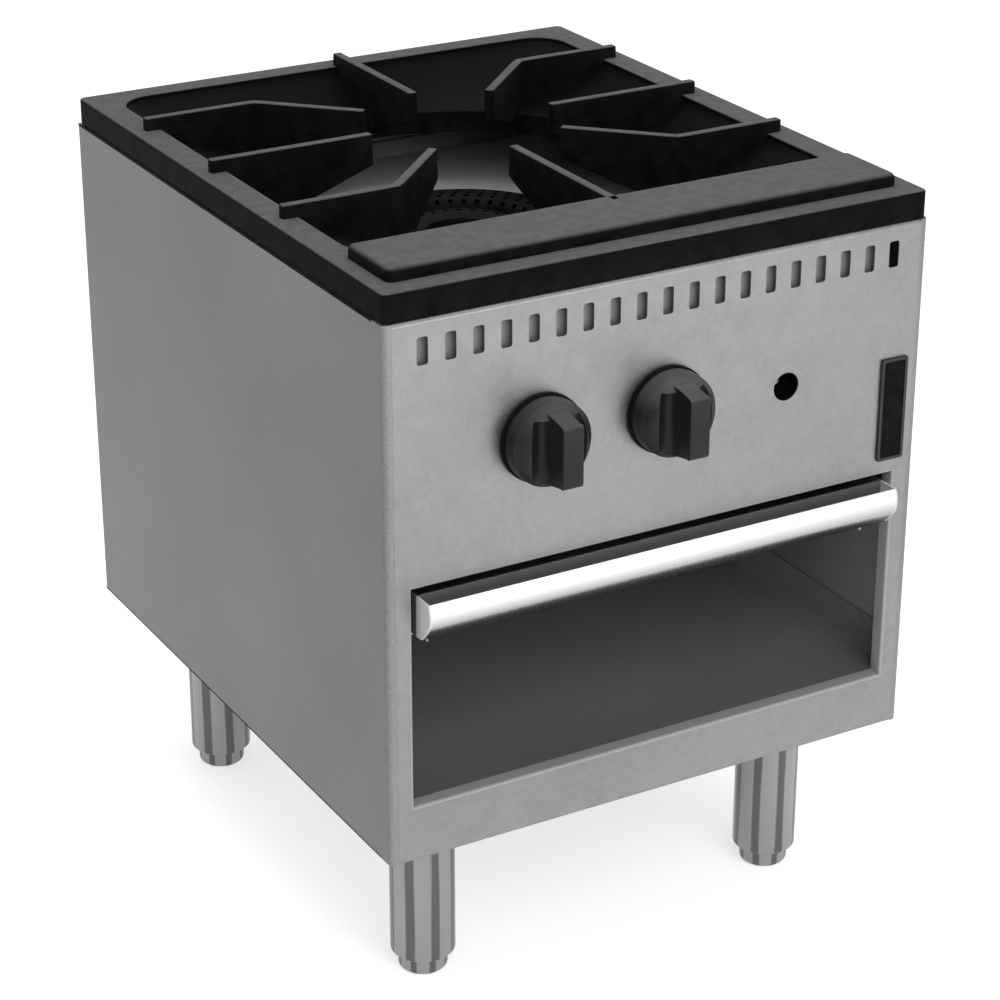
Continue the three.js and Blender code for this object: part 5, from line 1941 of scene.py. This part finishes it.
    def deck(self) -> None:
        """Deck sheet with its round hole, edge folds and tall front wall."""
        (x0, x1), (y0, y1), (z0, z1) = spans("burner_deck")
        s, top = self.sheet, z0 + self.sheet
        fold = top + self.deck_fold
        form = Form()
        hole = circle(self.centre, self.deck_hole, FINE_ROUND)
        form.plate(box_outline((x0, x1), (y0, y1)), [hole], Axis.Z, top, z0)
        for x in ((x0, x0 + s), (x1 - s, x1)):
            form.box(x, (y0, y1), (top, fold))
        for y in ((y1 - s, y1), (y0, y0 + s)):
            form.box((x0, x1), y, (top, fold))
        add_piece("deck_sheet", form, Finish.DECK, CABINET, ["burner_deck"])
        wall = Form().box(self.wall_x, (y0, y0 + s), (fold, z1))
        add_piece("deck_wall", wall, Finish.DECK_WALL, CABINET, edge=SOFT_EDGE)


@dataclass
class Knob:
    """One control knob: bezel, domed skirt with a finger scoop on each side, and waisted grip."""

    side: str
    skirt_radius: float = 33.5 * MM
    skirt_edge: float = 4 * MM
    dome_radius: float = 28 * MM
    dome_depth: float = 28 * MM
    grip: float = 16.5 * MM
    back_half: float = 32 * MM
    front_half: float = 23.5 * MM
    grip_trim: float = 2 * MM
    nose: float = 3 * MM
    bezel_round: float = 0.8 * MM
    bezel_gap: float = 1.2 * MM
    dome: tuple[Point2, ...] = (
        (0.0, 0.71), (2.4, 0.81), (5.6, 0.89), (11.2, 0.95), (18.2, 0.985), (28.0, 1.0),
    )
    waist: tuple[Point2, ...] = (
        (0.0, 0.0), (0.0, 2.4), (0.5, 4.0), (0.7, 7.0), (0.7, 14.0), (0.4, 18.0), (0.0, 21.0),
    )
    scoop_half: float = 22.5 * MM
    scoop_runout: float = 3.5 * MM
    scoop: tuple[Point2, ...] = (
        (0, 20), (0.6, 22.3), (1.8, 24), (3.2, 25.1), (4.8, 25.5), (6.8, 25.5), (8.8, 25), (10.6, 23.8),
        (12.3, 22), (13.9, 19.8), (15.3, 17),
    )

    def build(self) -> None:
        """Makes the bezel, the skirt and the grip."""
        body = f"knob_{self.side}"
        (x0, x1), (y0, y1), (z0, z1) = spans(body)
        middle = ((x0 + x1) / 2, y1, (z0 + z1) / 2)
        r, e, rise = self.skirt_radius, self.skirt_edge, self.dome_depth - self.skirt_edge
        small = self.bezel_round
        bezel = [
            (0, 0), (r - small, 0), (r, -small), (r, 0.6 * MM - e), (r - 0.3 * MM, -e),
            (r - MM, -e), (r - 1.1 * MM, small - e), (0, small - e),
        ]
        ring = Form().turned(bezel, middle, Axis.Y, FINE_ROUND)
        add_piece(f"knob_bezel_{self.side}", ring, Finish.BEZEL, body, [body])
        shoulder = r - self.bezel_gap
        dome = [
            (0, MM - e), (shoulder - 0.4 * MM, MM - e), (shoulder, -e - rise * 0.06),
            (shoulder, -e - rise * 0.25), (shoulder - 0.4 * MM, -e - rise * 0.48),
            (self.dome_radius + 1.3 * MM, -e - rise * 0.62),
            *((self.dome_radius - inset * MM, -e - rise * share) for inset, share in self.dome),
        ]
        scoops = Form()
        for way in (-1, 1):
            floor = [
                (middle[0] + way * (self.grip / 2 + beyond * MM), y0 + behind * MM)
                for beyond, behind in self.scoop
            ]
            section = [(floor[0][0], y0 - MM), *floor, (floor[-1][0], y0 - MM)]
            low = middle[2] - self.scoop_half - self.scoop_runout
            scoops.prism(section, Axis.Z, low, middle[2] + self.scoop_half)
        skirt = carved(Form().turned(dome, middle, Axis.Y, FINE_ROUND), scoops, Cut.AWAY)
        add_piece(f"knob_skirt_{self.side}", skirt, Finish.KNOB, body)
        grip = carved(self.grip_plan(middle, y0), self.grip_side(middle, y0), Cut.COMMON, 25)
        add_piece(f"knob_grip_{self.side}", grip, Finish.KNOB, body, edge=0.5 * MM, segments=3)

    def grip_plan(self, middle: Point3, front: float) -> Form:
        """Grip as seen from above, waisted behind its front edge.

        Args:
            middle: Middle of the knob's back.
            front: The grip's front.

        Returns:
            The form.
        """
        x, back, z = middle
        half = self.grip / 2
        points = [(x + half - inset * MM, front + behind * MM) for inset, behind in self.waist]
        points.append((x + half, back - self.skirt_edge))
        points += [(2 * x - a, b) for a, b in reversed(points)]
        return Form().prism(points, Axis.Z, z - self.back_half - MM, z + self.back_half + MM)

    def grip_side(self, middle: Point3, front: float) -> Form:
        """Grip as seen from the side, narrower in front.

        Args:
            middle: Middle of the knob's back.
            front: The grip's front.

        Returns:
            The form.
        """
        x, back, z = middle
        turn = arc((front + self.nose, z + self.front_half - self.nose), self.nose, 75, 180, 5)
        top = [(back - self.skirt_edge, z + self.back_half - self.grip_trim), *turn]
        outline = top + [(a, 2 * z - b) for a, b in reversed(top)]
        return Form().prism(outline, Axis.X, x - self.grip, x + self.grip)


@dataclass
class DripTray:
    """Pull-out tray with its scooped nose, and the runners."""

    sheet: float = SHEET
    nose_reach: float = 16.5 * MM
    wall_back: float = 4 * MM
    nose: tuple[Point2, ...] = (
        (0.0, 0.0), (0.2, 0.02), (0.42, 0.13), (0.66, 0.27), (0.86, 0.4), (0.97, 0.52),
        (1.0, 0.64), (0.985, 0.78), (0.93, 0.9), (0.83, 1.0),
    )

    def build(self) -> None:
        """Makes the tray and dresses the runners."""
        (x0, x1), (y0, y1), (z0, z1) = spans("drip_tray")
        face, s = y0 + self.nose_reach, self.sheet
        wall = face + self.wall_back
        pan = Form().box((x0, x1), (wall, y1), (z0, z0 + s))
        for x in ((x0, x0 + s), (x1 - s, x1)):
            pan.box(x, (wall, y1), (z0 + s, z1))
        for y in ((wall, wall + s), (y1 - s, y1)):
            pan.box((x0 + s, x1 - s), y, (z0 + s, z1))
        add_piece("tray_pan", pan, Finish.PAN, "tray", ["drip_tray"], SOFT_EDGE)
        run = [(face - a * self.nose_reach, z0 + b * (z1 - z0)) for a, b in self.nose]
        nose = Form().prism(folded([(wall + s, z0), *run], s), Axis.X, x0 + s, x1 - s)
        add_piece("tray_nose", nose, Finish.TRAY, "tray")
        ends = Form()
        for low in (x0, x1 - s):
            ends.prism([(wall, z0), *run, (wall, z1)], Axis.X, low, low + s)
        add_piece("tray_ends", ends, Finish.TRAY_END, "tray")
        for side in ("left", "right"):
            dress_node(f"tray_runner_{side}", Finish.RUNNER)


@dataclass
class Storage:
    """Shelf in the lower opening and the channels under it."""

    sheet: float = SHEET
    bend: float = 2.5 * MM
    front_inset: float = 12.7 * MM

    def build(self) -> None:
        """Makes the shelf and dresses the channels."""
        (x0, x1), (y0, y1), (z0, z1) = spans("bottom_shelf")
        s, bend = self.sheet, self.bend
        floor = spans("base_channel_left")[2][1] + SEAT_GAP + s
        section = folded(
            [
                (x0 + s, z1), *arc((x0 + s + bend, floor + bend), bend, 180, 270, 5),
                *arc((x1 - s - bend, floor + bend), bend, 270, 360, 5), (x1 - s, z1),
            ],
            s,
        )
        form = Form().prism(section, Axis.Y, y0, y1)
        form.box((x0 + s, x1 - s), (y1 - s, y1), (floor, z1))
        front = spans("front_panel")[0][1] - self.front_inset
        form.box((-front, front), (y0, y0 + s), (z0, floor - s))
        add_piece("shelf_sheet", form, Finish.SHELF, CABINET, ["bottom_shelf"], SOFT_EDGE)
        for side in ("left", "right"):
            dress_node(f"base_channel_{side}", Finish.INNER)


@dataclass
class Legs:
    """Four legs with levelling feet, and the sockets that hold them."""

    chamfer: float = 1.5 * MM
    stud: float = 6 * MM
    stud_length: float = 20 * MM
    stud_chamfer: float = 0.8 * MM
    bore: float = 19.8 * MM
    foot_radius: float = 19.5 * MM
    foot_round: float = 5 * MM

    def build(self) -> None:
        """Makes every leg and foot."""
        for end in ("front", "rear"):
            for side in ("left", "right"):
                self.leg(f"{end}_{side}")
                dress_node(f"leg_socket_{end}_{side}", Finish.ZINC)

    def leg(self, corner: str) -> None:
        """One leg tube and its foot.

        Args:
            corner: The leg's corner, such as front_left.
        """
        (x0, x1), (y0, y1), (z0, z1) = spans(f"leg_{corner}")
        radius, middle = (x1 - x0) / 2, ((x0 + x1) / 2, (y0 + y1) / 2, 0.0)
        top, tip, bore = z1 - self.stud_length, self.stud_chamfer, self.bore
        foot_top = spans(f"foot_{corner}")[2][1]
        inside = foot_top + SEAT_GAP
        tube = [
            (0, z1), (self.stud - tip, z1), (self.stud, z1 - tip), (self.stud, top),
            (radius - MM, top), (radius, top - MM), (radius, z0 + self.chamfer * 1.6),
            (radius - 0.4 * MM, z0 + self.chamfer * 0.7), (radius - self.chamfer, z0),
            (bore + 0.4 * MM, z0), (bore, z0 + 0.5 * MM), (bore, inside), (0, inside),
        ]
        form = Form().turned(tube, middle, Axis.Z, FINE_ROUND)
        add_piece(f"leg_tube_{corner}", form, Finish.LEG, CABINET, [f"leg_{corner}"])
        wide, r, body = self.foot_radius, self.foot_round, f"foot_{corner}"
        foot = [
            (0, 0.0), *arc((wide - r, r), r, -90, 0, 8), (wide, foot_top - MM), (wide - MM, foot_top),
            (0, foot_top),
        ]
        plug = Form().turned(foot, middle, Axis.Z, FINE_ROUND)
        add_piece(f"foot_plug_{corner}", plug, Finish.LEG, body, [body])


@dataclass
class Badge:
    """Bare plate with a raised border."""

    rim: float = 2.5 * MM
    inset: float = 0.6 * MM
    sunk: float = 0.7 * MM

    def build(self) -> None:
        """Makes the plate and its border."""
        (x0, x1), (y0, y1), (z0, z1) = spans("badge_plate")
        within = [
            rounded_box((x0 + inset, x1 - inset), (z0 + inset, z1 - inset), corner * MM, 4)
            for inset, corner in ((self.inset, 1.2), (self.rim, 1.0))
        ]
        plate = Form().prism(within[0], Axis.Y, y0 + self.sunk, y1)
        add_piece("badge_face", plate, Finish.BADGE, CABINET, ["badge_plate"])
        outline = rounded_box((x0, x1), (z0, z1), 1.8 * MM, 5)
        border = Form().plate(outline, within[1:], Axis.Y, y0, y1)
        add_piece("badge_border", border, Finish.BADGE_RIM, CABINET, edge=SOFT_EDGE)


@dataclass
class GasTrain:
    """Valves, pipes, hoods, shutters and the pilot behind the front panel."""

    bore: float = 10.5 * MM
    thread: float = 20 * MM
    pitch: float = 1.8 * MM
    thread_depth: float = 0.9 * MM
    crest: float = 0.05 * MM
    end_chamfer: float = 1.2 * MM
    pairs: tuple[tuple[str, Finish], ...] = (
        ("orifice_hood", Finish.BRASS), ("gas_valve", Finish.BRASS), ("valve_stem", Finish.BRASS),
        ("air_shutter", Finish.ZINC), ("manifold_bracket", Finish.ZINC),
    )
    singles: tuple[tuple[str, Finish], ...] = (
        ("manifold_pipe", Finish.PIPE), ("supply_elbow", Finish.PIPE),
        ("pilot_valve", Finish.BRASS), ("pilot_screw", Finish.BRASS),
        ("pilot_burner", Finish.ZINC), ("pilot_tube", Finish.ZINC),
    )

    def build(self) -> None:
        """Dresses the nodes, and makes the inlet pipe."""
        for side in ("left", "right"):
            for kind, finish in self.pairs:
                dress_node(f"{kind}_{side}", finish)
        for node, finish in self.singles:
            dress_node(node, finish)
        self.supply()

    def supply(self) -> None:
        """Supply pipe with a threaded end behind the cabinet."""
        (x0, x1), (y0, y1), (z0, z1) = spans("supply_pipe")
        radius, middle = (x1 - x0) / 2, ((x0 + x1) / 2, 0.0, (z0 + z1) / 2)
        profile = [(self.bore, y0), (radius, y0), (radius, y1 - self.thread)]
        for i in range(int(self.thread / self.pitch)):
            y = y1 - self.thread + i * self.pitch
            profile.append((radius - self.thread_depth, y + self.pitch * 0.45))
            profile.append((radius - self.crest, y + self.pitch * 0.9))
        profile += [(radius - self.end_chamfer, y1), (self.bore, y1), (self.bore, y0)]
        form = Form().turned(profile, middle, Axis.Y, 64)
        add_piece("inlet_pipe", form, Finish.PIPE, CABINET, ["supply_pipe"])


# ---- Studio --------------------------------------------------------------------------------


@dataclass
class Studio:
    """Floor, soft lights, white surroundings and the camera."""

    camera_place: Point3 = (-1.05674, -1.86954, 1.26214)
    azimuth: float = -29.822
    elevation: float = 24.392
    roll: float = 0.074
    lens: float = 103.83
    sensor: float = 36.0
    target: Point3 = (0.0, 0.0, 0.35)
    ambient: float = 0.5
    floor_half: float = 6.0
    floor_drop: float = 4 * MM
    floor_tone: float = 0.86
    floor_glow: float = 0.58
    lamps: dict[str, tuple[Point3, float, float]] = field(
        default_factory=lambda: {
            "key": ((-0.6, -2.4, 2.3), 1.6, 26.0),
            "fill": ((0.8, -2.5, 0.45), 1.2, 13.0),
            "top": ((0.0, 0.2, 2.6), 2.0, 22.0),
        }
    )

    def build(self) -> None:
        """Makes the studio."""
        self.floor()
        self.world()
        self.lights()
        self.camera()
        bpy.context.scene.view_settings.view_transform = "Standard"

    def floor(self) -> None:
        """Pale floor that stays white but for the object's shadow."""
        span = (-self.floor_half, self.floor_half)
        form = Form().plate(box_outline(span, span), [], Axis.Z, -self.floor_drop, 0.0)
        floor = linked("studio_floor", form.mesh("studio_floor"))
        made, wiring, shader = blank_material("studio_floor")
        shader.inputs["Base Color"].default_value = (*[self.floor_tone] * 3, 1.0)
        shader.inputs["Roughness"].default_value = 0.8
        shader.inputs["Specular IOR Level"].default_value = 0.0
        seen = self.seen(wiring, "Is Camera Ray", "Is Glossy Ray")
        shader.inputs["Emission Color"].default_value = (1, 1, 1, 1)
        strength = wiring.times(seen, self.floor_glow)
        wiring.join(strength, shader.inputs["Emission Strength"])
        floor.data.materials.append(made)

    @staticmethod
    def seen(wiring: Wiring, *rays: str) -> bpy.types.NodeSocket:
        """Mask of light that comes by some of the Light Path's rays.

        Args:
            wiring: The material's or world's wiring.
            rays: Names of the rays.

        Returns:
            1 for those rays and 0 for others.
        """
        path = wiring.add("ShaderNodeLightPath")
        mask = path.outputs[rays[0]]
        for ray in rays[1:]:
            mask = wiring.maths("MAXIMUM", mask, path.outputs[ray])
        return mask

    def world(self) -> None:
        """World that is white where it is seen and softer where it lights."""
        world = bpy.data.worlds.new("studio")
        bpy.context.scene.world = world
        world.use_nodes = True
        wiring = Wiring(world.node_tree)
        background = world.node_tree.nodes["Background"]
        background.inputs["Color"].default_value = (1, 1, 1, 1)
        seen = self.seen(wiring, "Is Camera Ray", "Is Glossy Ray", "Is Transmission Ray")
        strength = wiring.remap(seen, 0.0, 1.0, self.ambient, 1.0)
        wiring.join(strength, background.inputs["Strength"])

    def lights(self) -> None:
        """Soft square lamps aimed at the range."""
        target = Vector(self.target)
        for name, (place, size, power) in self.lamps.items():
            data = bpy.data.lights.new(f"{name}_lamp", "AREA")
            data.shape = "SQUARE"
            data.size = size
            data.energy = power
            lamp = bpy.data.objects.new(f"{name}_lamp", data)
            bpy.context.scene.collection.objects.link(lamp)
            lamp.location = place
            lamp.rotation_euler = (target - Vector(place)).to_track_quat("-Z", "Y").to_euler()

    def camera(self) -> None:
        """Camera at the photograph's angle."""
        data = bpy.data.cameras.new("camera")
        data.lens = self.lens
        data.sensor_width = self.sensor
        camera = bpy.data.objects.new("camera", data)
        bpy.context.scene.collection.objects.link(camera)
        a, e = math.radians(self.azimuth), math.radians(self.elevation)
        back = Vector((math.sin(a) * math.cos(e), -math.cos(a) * math.cos(e), math.sin(e)))
        right = Vector((math.cos(a), math.sin(a), 0))
        up = back.cross(right)
        turn = Matrix.Rotation(math.radians(self.roll), 3, back)
        right, up = turn @ right, turn @ up
        axes = Matrix((right, up, back)).transposed()
        camera.matrix_world = Matrix.Translation(self.camera_place) @ axes.to_4x4()
        bpy.context.scene.camera = camera


def main() -> None:
    """Builds the studio and every piece of the range."""
    logging.basicConfig(level=logging.INFO, format="%(name)s: %(message)s")
    parts = [
        Studio(), Shell(), Grate(), Burners(), Knob("left"), Knob("right"), DripTray(), Storage(),
        Legs(), Badge(), GasTrain(),
    ]
    for part in parts:
        log.info("building %s", type(part).__name__)
        part.build()
    bpy.context.view_layer.update()


if __name__ == "__main__":
    main()
